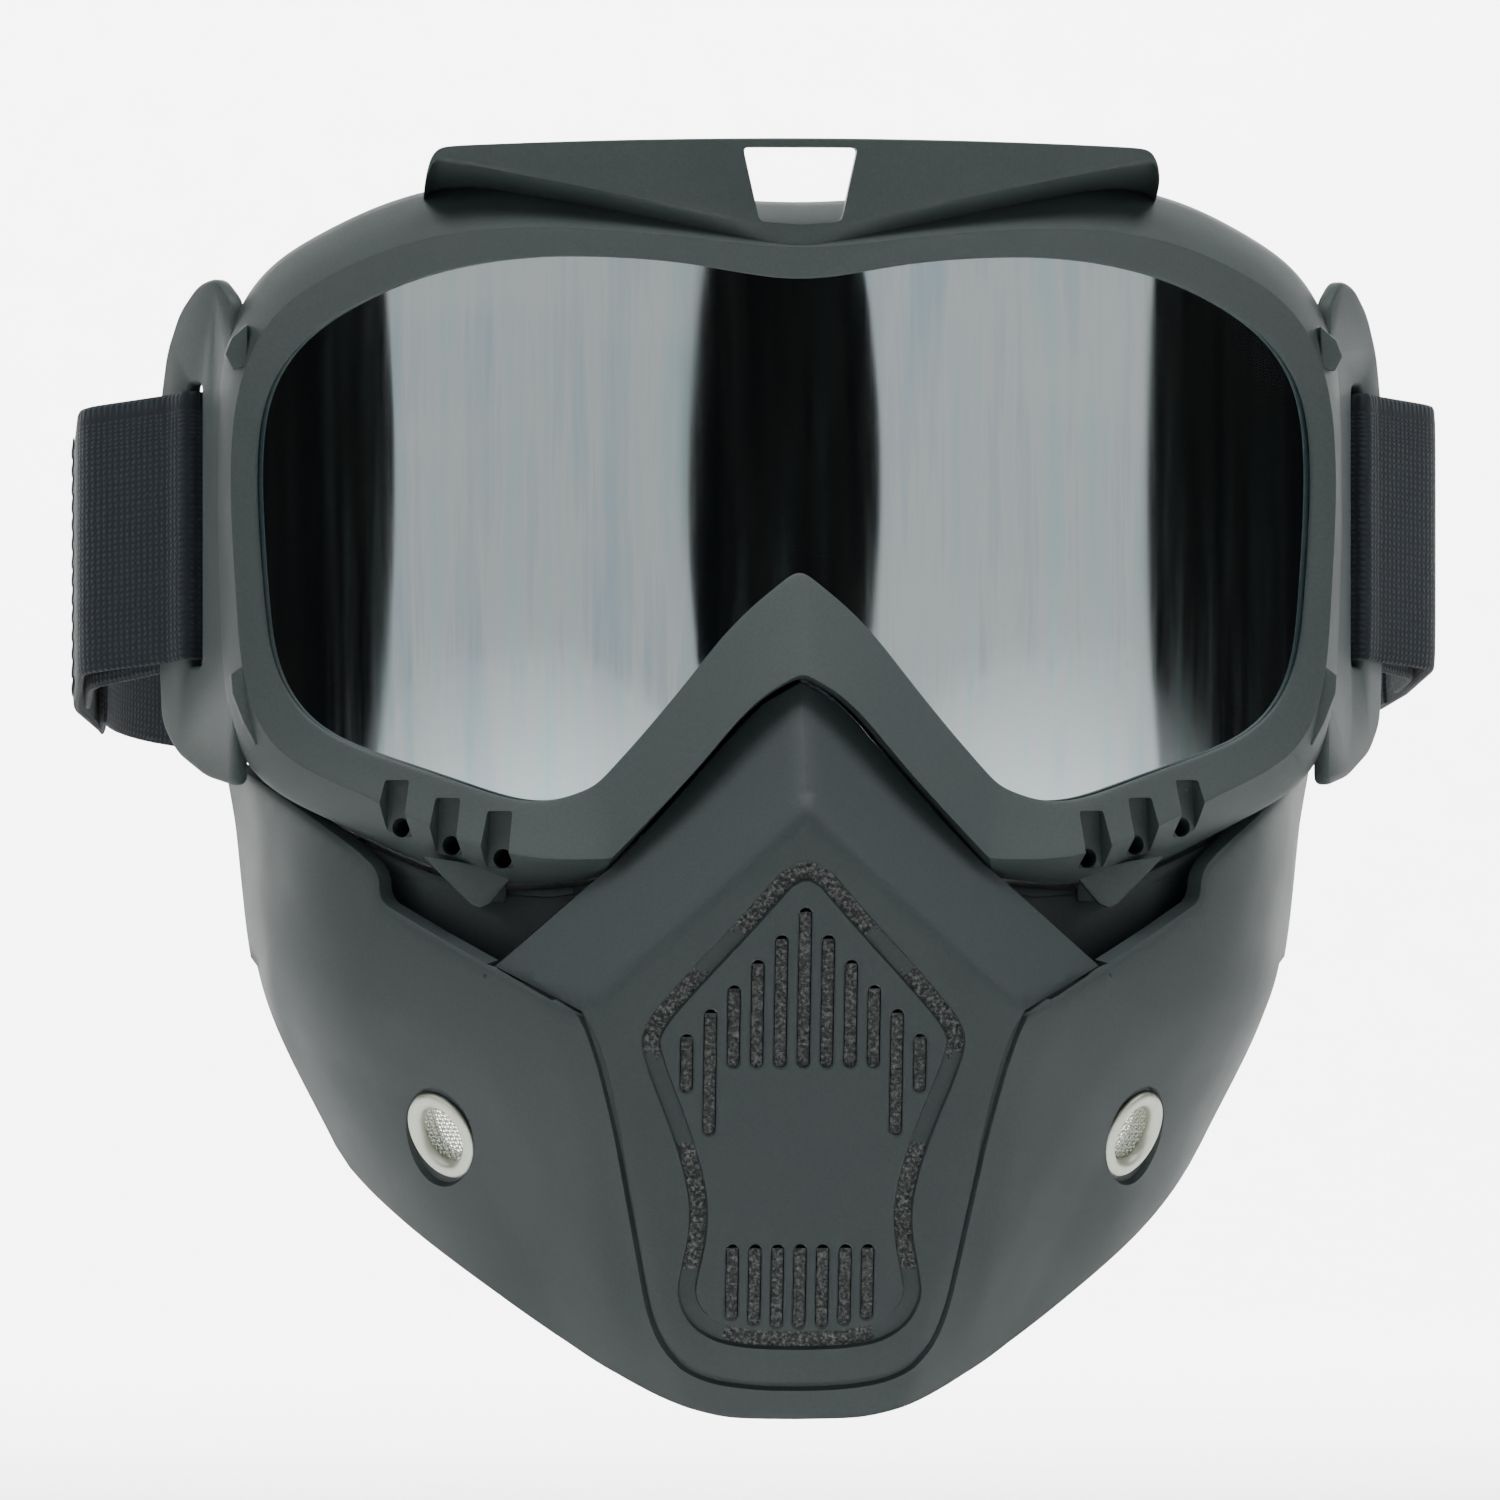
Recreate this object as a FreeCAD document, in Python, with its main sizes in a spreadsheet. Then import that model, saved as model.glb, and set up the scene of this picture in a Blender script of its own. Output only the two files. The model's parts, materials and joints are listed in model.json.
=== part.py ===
import FreeCAD, Part
import math
import os

# Motorcycle goggles with a clip-on face mask, in millimetres.
# +Y points back into the wearer's face, +Z is up, and right and left are as seen from the front.
# The origin is the middle of the face opening, on the wearer's brow.

V = FreeCAD.Vector
UP = V(0, 0, 1)
BACK = V(0, 1, 0)

doc = FreeCAD.newDocument("Goggles")
sheet = doc.addObject("Spreadsheet::Sheet", "Dimensions")

# Every driving dimension, by the alias of its cell.
DRIVING = {
    "lens_radius": 120.0,        # bend of the lens about a vertical axis
    "lens_front": 40.0,          # how far the lens stands in front of the face plane
    "lens_thick": 1.6,
    "lens_lap": 2.8,             # lens hidden behind the lip, all round
    "lip_proud": 0.9,
    "face_radius": 112.0,        # bend of the wearer's face, seen from above
    "foam_thick": 13.0,
    "foam_width": 12.0,
    "wall": 2.2,
    "gap": 0.3,                  # between pieces that only meet
    "brow_radius_front": 121.5,
    "brow_thick": 3.0,
    "ear_thick": 2.4,
    "ear_angle": 63.0,           # of each strap ear, from straight sideways
    "ear_root_x": 81.8,
    "ear_root_y": -3.0,
    "slot_start": 7.0,           # strap slot, along the ear from its root
    "slot_end": 11.0,
    "slot_top": 14.4,
    "slot_bottom": -27.6,
    "strap_width": 40.0,
    "strap_thick": 1.5,
    "layer_gap": 0.15,           # between two layers of strap
    "strap_middle": -6.6,
    "strap_side": 99.0,
    "strap_back": 104.0,
    "strap_tail": 46.0,          # how far each strap runs past the middle of the head
    "strap_droop": 0.12,         # fall per unit of depth behind the ears
    "slider_length": 24.0,
    "slider_height": 49.0,
    "slider_place": 26.0,
    "bar_thick": 2.0,
    "vent_width": 3.4,
    "vent_hole_dia": 2.3,
    "mask_wall": 2.4,
    "mask_rear": 22.0,           # how far back the cheeks reach
    "slot_width": 1.9,           # breathing slots in the mouth panel
    "groove_width": 2.4,
    "groove_depth": 0.9,
    "filter_thick": 4.0,
    "retainer_thick": 1.6,
    "eyelet_x": 51.6,
    "eyelet_level": -97.0,
    "flange_dia": 13.8,
    "barrel_dia": 9.6,
    "bore_dia": 8.6,
    "flange_thick": 0.7,
    "eyelet_seat": 0.9,          # how deep the eyelet's flange is let into the mask
    "eyelet_length": 4.3,
    "eyelet_curl_dia": 11.4,     # the barrel's rolled end, behind the washer
    "washer_dia": 14.4,
    "washer_thick": 0.6,
    "washer_depth": 3.05,
    "wire_dia": 0.32,
    "wire_pitch": 0.95,
    "pocket_radius": 113.6,      # of the wall behind the gap between goggles and mask
    "tongue_width": 11.4,
    "tongue_thick": 2.4,
    "tongue_x": 44.0,
    "tongue_y": -25.0,
}

for row, (alias, value) in enumerate(DRIVING.items(), start=1):
    sheet.set(f"A{row}", alias)
    sheet.set(f"B{row}", str(value))
    sheet.setAlias(f"B{row}", alias)
doc.recompute()


def dim(alias):
    """The value of a driving dimension, read from the sheet."""
    return float(sheet.get(alias))


# ---------------------------------------------------------------- outlines
# Right halves, seen from the front as (x, z), from the top centre down to the nose.
# The three outlines have matching points, so a ring can be drawn between any two.

LENS_OPENING = [
    (0, 28.7), (14.8, 30.8), (29.6, 32.1), (42.9, 31.7), (54, 29.5), (63.6, 25.6), (71, 20.7),
    (75.8, 14.4), (77.9, 6), (78, -5), (77, -19), (75, -29), (70, -36), (60, -40.9),
    (48.1, -45.1), (37.7, -47.6), (29.5, -45.2), (22.5, -37.4), (14.5, -27.6), (7, -19.2), (0, -13.5),
]
CREST = [
    (0, 33.2), (15, 34.6), (30, 36.0), (45, 36.2), (56, 34.4), (66.5, 30.4), (75, 24.8),
    (79.8, 17), (81.8, 7), (82, -5), (81.2, -19), (79.8, -31), (75.5, -39.8), (64.5, -46),
    (50, -52.8), (38, -55.8), (27.6, -55.8), (20.6, -48.5), (13, -40), (5.5, -32), (0, -28.8),
]
BODY = [
    (0, 40.5), (16, 41.5), (32, 43), (46, 43.6), (58, 41.2), (69, 36.3), (77.5, 30.2),
    (82.3, 21), (83.6, 9), (83.7, -5), (83.4, -19), (82.4, -33), (78.8, -43.2), (67.6, -50.4),
    (53, -57.2), (40, -59.8), (28.6, -58.6), (20.6, -49.1), (13, -40.6), (5.5, -32.6), (0, -29.4),
]
# How far the crest stands in front of the lens, and how far the body edge lies behind the crest.
CREST_PROUD = [3.5] * 13 + [4.0, 4.5, 5.0, 6.0, 6.6, 7.0, 7.4, 8.0]
BODY_SETBACK = [14, 14, 13.5, 13, 12, 11, 10, 8.5, 7, 6.5, 7, 8, 9, 9, 9, 8, 6, 5, 5, 5, 5]
CORNER = 16                      # the point where the nose cut-out meets the bottom rail


def with_midpoints(values):
    """A list with the mean of each neighbouring pair put between them."""
    filled = [values[0]]
    for before, after in zip(values, values[1:]):
        filled += [(before + after) / 2, after]
    return filled


def smoothed(outline):
    """An outline with a point added on its own curve inside every interval, except across the corner."""
    filled = []
    for run in (outline[:CORNER + 1], outline[CORNER:]):
        curve = Part.BSplineCurve()
        curve.interpolate(Points=[V(x, 0, z) for x, z in run])
        knots = curve.getKnots()
        points = [curve.value(u) for u in with_midpoints(knots)]
        filled += [(point.x, point.z) for point in points[:-1]]
    return filled + [outline[-1]]


LENS_OPENING, CREST, BODY = smoothed(LENS_OPENING), smoothed(CREST), smoothed(BODY)
CREST_PROUD, BODY_SETBACK = with_midpoints(CREST_PROUD), with_midpoints(BODY_SETBACK)
CORNER *= 2


def lens_depth(x):
    """Depth of the lens's front surface at x."""
    radius = dim("lens_radius")
    return radius - dim("lens_front") - math.sqrt(radius ** 2 - x ** 2)


def lens_back(x):
    """Depth of the lens's rear surface at x."""
    radius = dim("lens_radius")
    return radius - dim("lens_front") - math.sqrt((radius - dim("lens_thick")) ** 2 - x ** 2)


def face_depth(x):
    """Depth of the wearer's face at x."""
    radius = dim("face_radius")
    return radius - math.sqrt(radius ** 2 - x ** 2)


def rear_depth(x):
    """Depth of the frame's rear edge at x, where the foam starts."""
    return face_depth(x) - dim("foam_thick")


def shifted(start, towards, distance):
    """Points moved from one outline towards another by a distance."""
    moved = []
    for (ax, az), (bx, bz) in zip(start, towards):
        length = math.hypot(bx - ax, bz - az)
        moved.append((ax + (bx - ax) * distance / length, az + (bz - az) * distance / length))
    return moved


def outset(distance):
    """The lens opening grown by a distance."""
    return shifted(LENS_OPENING, BODY, distance)


def inset(distance):
    """The body outline shrunk by a distance."""
    return shifted(BODY, LENS_OPENING, distance)


def lifted(outline, depth, extra=0.0):
    """An outline given depth, by a function of x or by one depth per point."""
    depths = [depth(x) for x, z in outline] if callable(depth) else depth
    return [V(x, y + extra, z) for (x, z), y in zip(outline, depths)]


def smooth_edge(points):
    """One spline edge through points."""
    curve = Part.BSplineCurve()
    curve.interpolate(Points=points)
    return curve.toShape()


def half_curves(half, corner):
    """Two splines along a half outline, meeting at its corner point.

    The same point of every outline has the same parameter, so two outlines can be joined by straight rules.
    """
    reach = [0.0]
    for (ax, az), (bx, bz) in zip(CREST, CREST[1:]):
        reach.append(reach[-1] + math.hypot(bx - ax, bz - az))
    middle = (half[corner + 1] - half[corner - 1]).normalize()
    first, last = (half[1] - half[0]).normalize(), (half[-1] - half[-2]).normalize()
    curves = []
    for run, tangents in ((slice(0, corner + 1), (first, middle)), (slice(corner, None), (middle, last))):
        curve = Part.BSplineCurve()
        curve.interpolate(Points=half[run], Parameters=reach[run],
                          InitialTangent=tangents[0], FinalTangent=tangents[1])
        curves.append(curve)
    return curves


def ruled_face(a, b):
    """The face of straight lines between two splines that share their knots."""
    surface = Part.BSplineSurface()
    surface.buildFromPolesMultsKnots([a.getPoles(), b.getPoles()], [2, 2], a.getMultiplicities(),
                                     [0, 1], a.getKnots(), False, False, 1, a.Degree)
    return surface.toShape()


def ring_solid(halves, corner=CORNER):
    """A closed ring whose cross-section is the polygon of the given outlines."""
    rings = [half_curves(half, corner) for half in halves]
    faces = []
    for here, there in zip(rings, rings[1:] + rings[:1]):
        for a, b in zip(here, there):
            face = ruled_face(a, b)
            faces += [face, face.mirror(V(0, 0, 0), V(1, 0, 0))]
    shell = Part.makeShell(faces)
    shell.sewShape()
    solid = Part.makeSolid(shell)
    if solid.Volume < 0:
        solid.reverse()
    return solid


def ring_wire(outline, depth=-90.0):
    """The closed curve of an outline, flat at one depth."""
    edges = [curve.toShape() for curve in half_curves([V(x, depth, z) for x, z in outline], CORNER)]
    edges += [edge.mirror(V(0, 0, 0), V(1, 0, 0)) for edge in edges]
    return Part.Wire(Part.__sortEdges__(edges))


def flat_face(points, depth=0.0):
    """A face in a plane of constant Y, with straight sides."""
    corners = [V(x, depth, z) for x, z in points]
    return Part.Face(Part.makePolygon(corners + corners[:1]))


def prism(points, front=-90.0, rear=60.0):
    """A front-view outline run straight back through the object."""
    return flat_face(points, front).extrude(V(0, rear - front, 0))


def both_sides(half):
    """A half outline, from the top centre round to the bottom centre, closed by its mirror image."""
    return half + [(-x, z) for x, z in reversed(half) if x > 0]


def mirrored(shape):
    """The shape on the other side of the middle plane."""
    return shape.mirror(V(0, 0, 0), V(1, 0, 0))


def add_feature(name, shape):
    """A document object that holds a finished shape under the name of its node."""
    feature = doc.addObject("Part::Feature", name)
    feature.Label = name
    feature.Shape = shape
    return feature


# ---------------------------------------------------------------- goggle frame

def rail_rings():
    """The frame's cross-section: lip, crest, body edge, rear edge and back along the inside."""
    crest_depths = [lens_depth(x) - proud for (x, z), proud in zip(CREST, CREST_PROUD)]
    body_depths = [y + back for y, back in zip(crest_depths, BODY_SETBACK)]
    lip = outset(0.0)
    rear_outer, rear_inner = inset(1.6), inset(1.6 + dim("wall"))
    shoulder = inset(2.7)
    seat = outset(dim("lens_lap") + 0.4)
    return [
        lifted(lip, lens_depth, -dim("lip_proud")),
        lifted(CREST, crest_depths),
        lifted(BODY, body_depths),
        lifted(rear_outer, rear_depth),
        lifted(rear_inner, rear_depth),
        lifted(shoulder, body_depths, 2.0),
        lifted(seat, lens_back, 1.0),
        lifted(seat, lens_depth, -0.1),
        lifted(lip, lens_depth, -0.1),
    ]


def frame_envelope(clearance):
    """A block that fills the frame's outer shape with room to spare, for cutting neighbours."""
    crest_depths = [lens_depth(x) - proud for (x, z), proud in zip(CREST, CREST_PROUD)]
    body_depths = [y + back for y, back in zip(crest_depths, BODY_SETBACK)]
    grown_crest = shifted(CREST, LENS_OPENING, -clearance)
    core = outset(1.0)
    return ring_solid([
        lifted(core, lens_depth, -dim("lip_proud") - 4.0),
        lifted(grown_crest, crest_depths, -3.0),
        lifted(inset(-clearance), body_depths, clearance),
        lifted(inset(1.6 - clearance), rear_depth, 0.0),
        lifted(inset(1.6 - clearance), rear_depth, dim("foam_thick")),
        lifted(core, rear_depth, dim("foam_thick")),
    ])


def ear_point(along, across=0.0):
    """A point of the right ear's middle plane, in plan: along the ear and outwards from it."""
    angle = math.radians(dim("ear_angle"))
    return (
        dim("ear_root_x") + along * math.cos(angle) + across * math.sin(angle),
        dim("ear_root_y") + along * math.sin(angle) - across * math.cos(angle),
    )


def ear_plate():
    """The right strap ear: a slanted plate with an upright slot for the strap."""
    outline = [(-1.5, 26), (3, 29.2), (8, 27.6), (13, 23), (17, 15), (19, 6), (19, -28),
               (17.5, -36), (13, -40), (5, -43), (-1.5, -42)]
    thick = dim("ear_thick")
    plate = flat_face(outline, -thick / 2).extrude(V(0, thick, 0))
    edges = [e for e in plate.Edges if abs(e.tangentAt(e.FirstParameter).y) > 0.99]
    plate = plate.makeFillet(1.4, [e for e in edges if e.CenterOfMass.x > 1])
    slot = Part.makeBox(
        dim("slot_end") - dim("slot_start"), thick * 3, dim("slot_top") - dim("slot_bottom"),
        V(dim("slot_start"), -thick * 1.5, dim("slot_bottom")),
    )
    slot = slot.makeFillet(1.2, [e for e in slot.Edges if abs(e.tangentAt(0).y) > 0.99])
    plate = plate.cut(slot)
    plate.rotate(V(0, 0, 0), UP, dim("ear_angle"))
    plate.translate(V(dim("ear_root_x"), dim("ear_root_y"), 0))
    return plate


def brow_plate():
    """The upright plate over the lens, with its tapered slot, and the bevel under its lower edge."""
    axis_y = dim("lens_radius") - dim("lens_front")
    outline = both_sides([(0, 49.1), (25, 49.0), (51.6, 48.4), (52.8, 47), (54.0, 43.0), (52, 36.5),
                          (30, 36.4), (0, 34.5)])
    step = both_sides([(0, 49.1), (25, 49.0), (51.6, 48.4), (52.6, 46.4), (30, 41), (10, 37), (0, 35.8)])
    hole = both_sides([(0, 47.8), (7.8, 47.8), (8.3, 47.2), (6.6, 38), (5.9, 37.3), (0, 36.8)])
    front, thick = dim("brow_radius_front"), dim("brow_thick")

    def curved(radius_front, radius_back, points):
        """A plate bent about the lens's axis, with the given outline."""
        span = Part.makeCylinder(radius_front, 60, V(0, axis_y, 0))
        span = span.cut(Part.makeCylinder(radius_back, 60, V(0, axis_y, 0)))
        return span.common(prism(points, -90, 0))

    plate = curved(front, front - thick - 3, outline).fuse(curved(front + 1.6, front - thick, step))
    return plate.cut(prism(hole))


# Centre and top of each vent slot on the right.
VENTS = [(57.3, -44.4), (50.1, -47.0), (42.8, -48.9)]


def vent_cuts():
    """Three slots under each lens with a round hole at the bottom of each."""
    cuts = []
    half = dim("vent_width") / 2
    for x, top in VENTS:
        low = top - 8.2
        slot = prism([(x - half, top), (x + half, top), (x + half + 0.4, low), (x - half - 0.4, low)],
                     -60, lens_depth(x) + 1.2)
        hole = Part.makeCylinder(dim("vent_hole_dia") / 2, 12, V(x, lens_depth(x), top - 6.2), BACK)
        cuts += [slot, hole, mirrored(slot), mirrored(hole)]
    return cuts


def tongue_box(grow, top, bottom):
    """The space of the mask's right tongue, grown all round."""
    width, thick = dim("tongue_width") + 2 * grow, dim("tongue_thick") + 2 * grow
    return Part.makeBox(width, thick, top - bottom,
                        V(dim("tongue_x") - width / 2, dim("tongue_y") - thick / 2, bottom))


def lug():
    """A small wedge under the right vent rail, which the mask's pocket catches on."""
    return prism([(35, -58.6), (47.6, -57.2), (42, -61.6)], -31.0, -28.6)


def build_frame():
    """The goggle frame in one piece."""
    frame = ring_solid(rail_rings())
    ear, hook = ear_plate(), lug()
    frame = frame.fuse([ear, mirrored(ear), brow_plate(), hook, mirrored(hook)])
    socket = tongue_box(0.35, -52, -64)
    return frame.cut(vent_cuts() + [socket, mirrored(socket)])


add_feature("goggle_frame", build_frame())

# ---------------------------------------------------------------- lens and what holds it
lens_foot = V(0, dim("lens_radius") - dim("lens_front"), -60)
lens_blank = Part.makeCylinder(dim("lens_radius"), 120, lens_foot)
lens_blank = lens_blank.cut(Part.makeCylinder(dim("lens_radius") - dim("lens_thick"), 120, lens_foot))
lens_outline = Part.Face(ring_wire(outset(dim("lens_lap"))))
add_feature("lens", lens_blank.common(lens_outline.extrude(V(0, 110, 0))))

# Depths behind the lens at which the gasket starts and ends.
GASKET = (0.15, 0.85)
add_feature("lens_gasket", ring_solid([
    lifted(outset(2.4), lens_back, GASKET[0]), lifted(outset(2.4), lens_back, GASKET[1]),
    lifted(outset(0.9), lens_back, GASKET[1]), lifted(outset(0.9), lens_back, GASKET[0]),
]))

funnel_front = GASKET[1] + 0.15
flange = 2.0
add_feature("inner_frame", ring_solid([
    lifted(outset(1.9), lens_back, funnel_front),
    lifted(inset(5.6), rear_depth, -flange), lifted(inset(5.6), rear_depth),
    lifted(inset(13.5), rear_depth), lifted(inset(13.5), rear_depth, -flange),
    lifted(inset(7.6), rear_depth, -flange),
    lifted(outset(0.3), lens_back, funnel_front),
]))

foam_outer = 2.0
foam_inner = foam_outer + dim("foam_width")
add_feature("face_foam", ring_solid([
    lifted(inset(foam_outer), rear_depth, dim("gap")), lifted(inset(foam_outer + 1.5), face_depth, -1.5),
    lifted(inset(foam_outer + 3.5), face_depth), lifted(inset(foam_inner - 2.5), face_depth),
    lifted(inset(foam_inner), face_depth, -2.5), lifted(inset(foam_inner), rear_depth, dim("gap")),
]))

# ---------------------------------------------------------------- strap


def bent_wire(points, radii):
    """Straight runs joined by tangent arcs, in plan; one radius per inner point."""
    corners = [V(x, y, 0) for x, y in points]
    edges, start = [], corners[0]
    for before, corner, after, radius in zip(corners, corners[1:], corners[2:], radii):
        into, out = (before - corner).normalize(), (after - corner).normalize()
        half_angle = into.getAngle(out) / 2
        run = radius / math.tan(half_angle)
        a, b = corner + into * run, corner + out * run
        centre = corner + (into + out).normalize() * (radius / math.sin(half_angle))
        middle = centre + (corner - centre).normalize() * radius
        edges += [Part.LineSegment(start, a).toShape(), Part.Arc(a, middle, b).toShape()]
        start = b
    edges.append(Part.LineSegment(start, corners[-1]).toShape())
    return Part.Wire(edges)


def strap_band(back_depth):
    """The right strap: sewn round the ear's outer bar, back along the head, and across behind it."""
    wrap = dim("ear_thick") / 2 + dim("strap_thick") / 2 + 0.2
    side = dim("strap_side")
    bar_start = dim("slot_end")
    inner_end = side - dim("strap_thick") - dim("layer_gap")
    turn = bar_start - 0.2 - dim("strap_thick") / 2
    points = [
        (inner_end, 52), (inner_end, 30), ear_point(20.0, -wrap), ear_point(turn, -wrap),
        ear_point(turn, wrap), ear_point(15.0, wrap), (side, 18), (side, back_depth),
        (-dim("strap_tail"), back_depth),
    ]
    path = bent_wire(points, [14, 10, 1.0, 1.0, 9, 12, 46])
    half = dim("strap_width") / 2
    outline = path.makeOffset2D(dim("strap_thick") / 2, 0, False, False, False)
    band = Part.Face(outline).extrude(UP * (2 * half))
    band.translate(V(0, 0, dim("strap_middle") - half))
    droop = dim("strap_droop")
    fall = FreeCAD.Matrix(1, 0, 0, 0, 0, 1, 0, 0, 0, -droop, 1, droop * 6.0, 0, 0, 0, 1)
    return band.transformGeometry(fall)


outer_layer = dim("strap_back")
inner_layer = outer_layer - dim("strap_thick") - dim("layer_gap")
add_feature("strap_right", strap_band(outer_layer))
add_feature("strap_left", mirrored(strap_band(inner_layer)))

# The sliders that hold the two straps together behind the head: a thin box with a tunnel for both
# straps, a window on its outer side, and one upright bar on its head side.


def bound(kind, name, place, **formulas):
    """A primitive whose sizes are formulas over the sheet."""
    thing = doc.addObject(kind, name)
    for size, formula in formulas.items():
        thing.setExpression(size, formula)
    thing.Placement = FreeCAD.Placement(V(*place), FreeCAD.Rotation())
    return thing


def cut_from(name, base, tools):
    """A node made of one solid with others cut out of it."""
    tool = tools[0]
    if len(tools) > 1:
        tool = doc.addObject("Part::MultiFuse", name + "_tools")
        tool.Shapes = tools
    node = doc.addObject("Part::Cut", name)
    node.Base = base
    node.Tool = tool
    node.Label = name
    return node


def add_slider(name, x):
    """One slider, centred at x on the straight stretch of the straps."""
    length, height, bar = dim("slider_length"), dim("slider_height"), dim("bar_thick")
    room = dim("gap")
    tunnel = 2 * dim("strap_thick") + dim("layer_gap") + 2 * room
    window = "Dimensions.strap_width + 2.4"
    window_foot = -dim("strap_width") / 2 - 1.2
    side = (length - 5) / 2
    tunnel_formula = "2 * Dimensions.strap_thick + Dimensions.layer_gap + 2 * Dimensions.gap"
    blank = bound("Part::Box", name + "_blank", (-length / 2, 0, -height / 2),
                  Length="Dimensions.slider_length", Height="Dimensions.slider_height",
                  Width="2 * Dimensions.bar_thick + " + tunnel_formula)
    tools = [
        bound("Part::Box", name + "_tunnel", (-length / 2 - 1, bar, window_foot),
              Length="Dimensions.slider_length + 2", Height=window, Width=tunnel_formula),
        bound("Part::Box", name + "_back", (-length / 2 + 4, bar + tunnel - 0.5, window_foot),
              Length="Dimensions.slider_length - 8", Height=window, Width="Dimensions.bar_thick + 1"),
    ]
    for tag, start in (("_near", -length / 2 - 1), ("_far", length / 2 - side)):
        tools.append(bound("Part::Box", name + tag, (start, -1, window_foot),
                           Length="(Dimensions.slider_length - 5) / 2 + 1", Height=window,
                           Width="Dimensions.bar_thick + 1.5"))
    node = cut_from(name, blank, tools)
    depth = inner_layer - dim("strap_thick") / 2 - room - bar
    level = dim("strap_middle") - dim("strap_droop") * (dim("strap_back") - 6.0)
    node.Placement = FreeCAD.Placement(V(x, depth, level), FreeCAD.Rotation())
    return node


SLIDERS = [add_slider("slider_right", dim("slider_place")), add_slider("slider_left", -dim("slider_place"))]

# ---------------------------------------------------------------- face mask
# Level curves of the mask: half width of the mouth panel, half width of the whole mask, and panel depth.
LEVELS = [
    # level, panel half width, mask half width, panel depth
    (-40, 33.0, 82.5, -57.5), (-50, 33.0, 80.5, -56.2), (-64, 33.0, 78.5, -53.2), (-78, 32.0, 75.5, -50.0),
    (-97, 26.7, 66.5, -46.0), (-109, 23.3, 60.5, -43.2), (-123, 19.4, 52.5, -39.8), (-131, 17.2, 47.5, -36.6),
    (-142, 14.0, 41.0, -29.0),
]
FLANK_STEPS = 9


def flank(share):
    """How far back the cheek has turned, from 0 at the panel's edge to 1 at the rear."""
    return 0.66 * share + 0.34 * share ** 8


def section_wire(level, panel, width, front, inward, rear):
    """A closed horizontal cross-section: outside from left to right, then back along the inside."""
    def half_curve(panel_half, full_half, depth):
        points = []
        for step in range(FLANK_STEPS + 1):
            share = step / FLANK_STEPS
            x = panel_half + (full_half - panel_half) * share
            points.append(V(x, depth + (dim("mask_rear") - depth) * flank(share), level))
        return points

    outside = half_curve(panel, width, front)
    inside = half_curve(panel - 0.45 * inward, width - inward, front + rear)
    edges = []
    for points in (outside, inside):
        right = smooth_edge(points)
        flat = Part.LineSegment(V(-points[0].x, points[0].y, level), points[0]).toShape()
        left = smooth_edge([V(-p.x, p.y, p.z) for p in points])
        edges += [right, flat, left]
    for sign in (1, -1):
        a, b = outside[-1], inside[-1]
        edges.append(Part.LineSegment(V(sign * a.x, a.y, level), V(sign * b.x, b.y, level)).toShape())
    return Part.Wire(Part.__sortEdges__(edges))


def mask_layer(outer_shift, inner_shift):
    """The mask's full skin between two depths below its outer surface."""
    wires = []
    for level, panel, width, front in LEVELS:
        outer = dict(panel=panel - 0.45 * outer_shift, width=width - outer_shift, front=front + outer_shift)
        wires.append(section_wire(level, inward=inner_shift - outer_shift, rear=inner_shift - outer_shift, **outer))
    return Part.makeLoft(wires, True, False)


def surface_depth(x, level):
    """Depth of the mask's outer surface, by straight interpolation between its level curves."""
    above, below = next((a, b) for a, b in zip(LEVELS, LEVELS[1:]) if b[0] <= level <= a[0])
    share = (above[0] - level) / (above[0] - below[0])
    panel, width, front = (a + (b - a) * share for a, b in zip(above[1:], below[1:]))
    if abs(x) <= panel:
        return front
    return front + (dim("mask_rear") - front) * flank((abs(x) - panel) / (width - panel))


# The wings and the mouth panel, seen from the front: half outline from the top of the panel round to the chin.
PANEL_TOP = (0, -49.6)
PANEL_CORNER = (31.6, -78.2)
WING_EDGE = [PANEL_CORNER, (60.4, -62.2), (61.0, -57.6), (67.8, -51.8), (84, -38)]
JAW = [(84, -45), (81.2, -52), (78.8, -66), (75.2, -78), (66.2, -97), (60.6, -107), (54.4, -113),
       (38, -124), (24.8, -133), (19.5, -136.4), (15, -138), (0, -138)]


def jaw_outline(top):
    """A closed front-view outline from the given top edge down to the jaw."""
    half = top + JAW
    return both_sides(half)


def nose_roof():
    """The two sloping facets over the nose, from the panel's crease up to the goggle frame."""
    ridge_top, apex = V(0, -42.0, -26.0), V(0, -56.2, -49.6)
    crease_end = V(PANEL_CORNER[0], -50.0, PANEL_CORNER[1])
    normal = (apex - ridge_top).cross(crease_end - ridge_top).normalize()

    def on_facet(x, z):
        """The point of the facet's plane at x, z."""
        return V(x, ridge_top.y - (normal.x * x + normal.z * (z - ridge_top.z)) / normal.y, z)

    corner = on_facet(43.8, -71.8)
    shoulder = on_facet(26, -50)
    outline = [ridge_top, apex, crease_end, corner, on_facet(29.5, -57.2), shoulder]
    facet = Part.Face(Part.makePolygon(outline + outline[:1]))
    slab = facet.extrude(normal * (-dim("mask_wall")))
    cheek = [corner, on_facet(29.5, -57.2), on_facet(27.2, -57.2), on_facet(41.4, -71.8)]
    wall = Part.Face(Part.makePolygon(cheek + cheek[:1])).extrude(V(0, 18, 0))
    return slab.fuse([mirrored(slab), wall, mirrored(wall)]), on_facet


def strip(points, width):
    """A band of constant width along a front-view polyline, run straight back through the object."""
    wire = Part.makePolygon([V(x, z, 0) for x, z in points])
    loop = wire.makeOffset2D(width / 2, 2, False, False, False)
    face = Part.Face(loop)
    face.rotate(V(0, 0, 0), V(1, 0, 0), 90)
    face.translate(V(0, 60, 0))
    return face.extrude(V(0, -160, 0))


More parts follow.
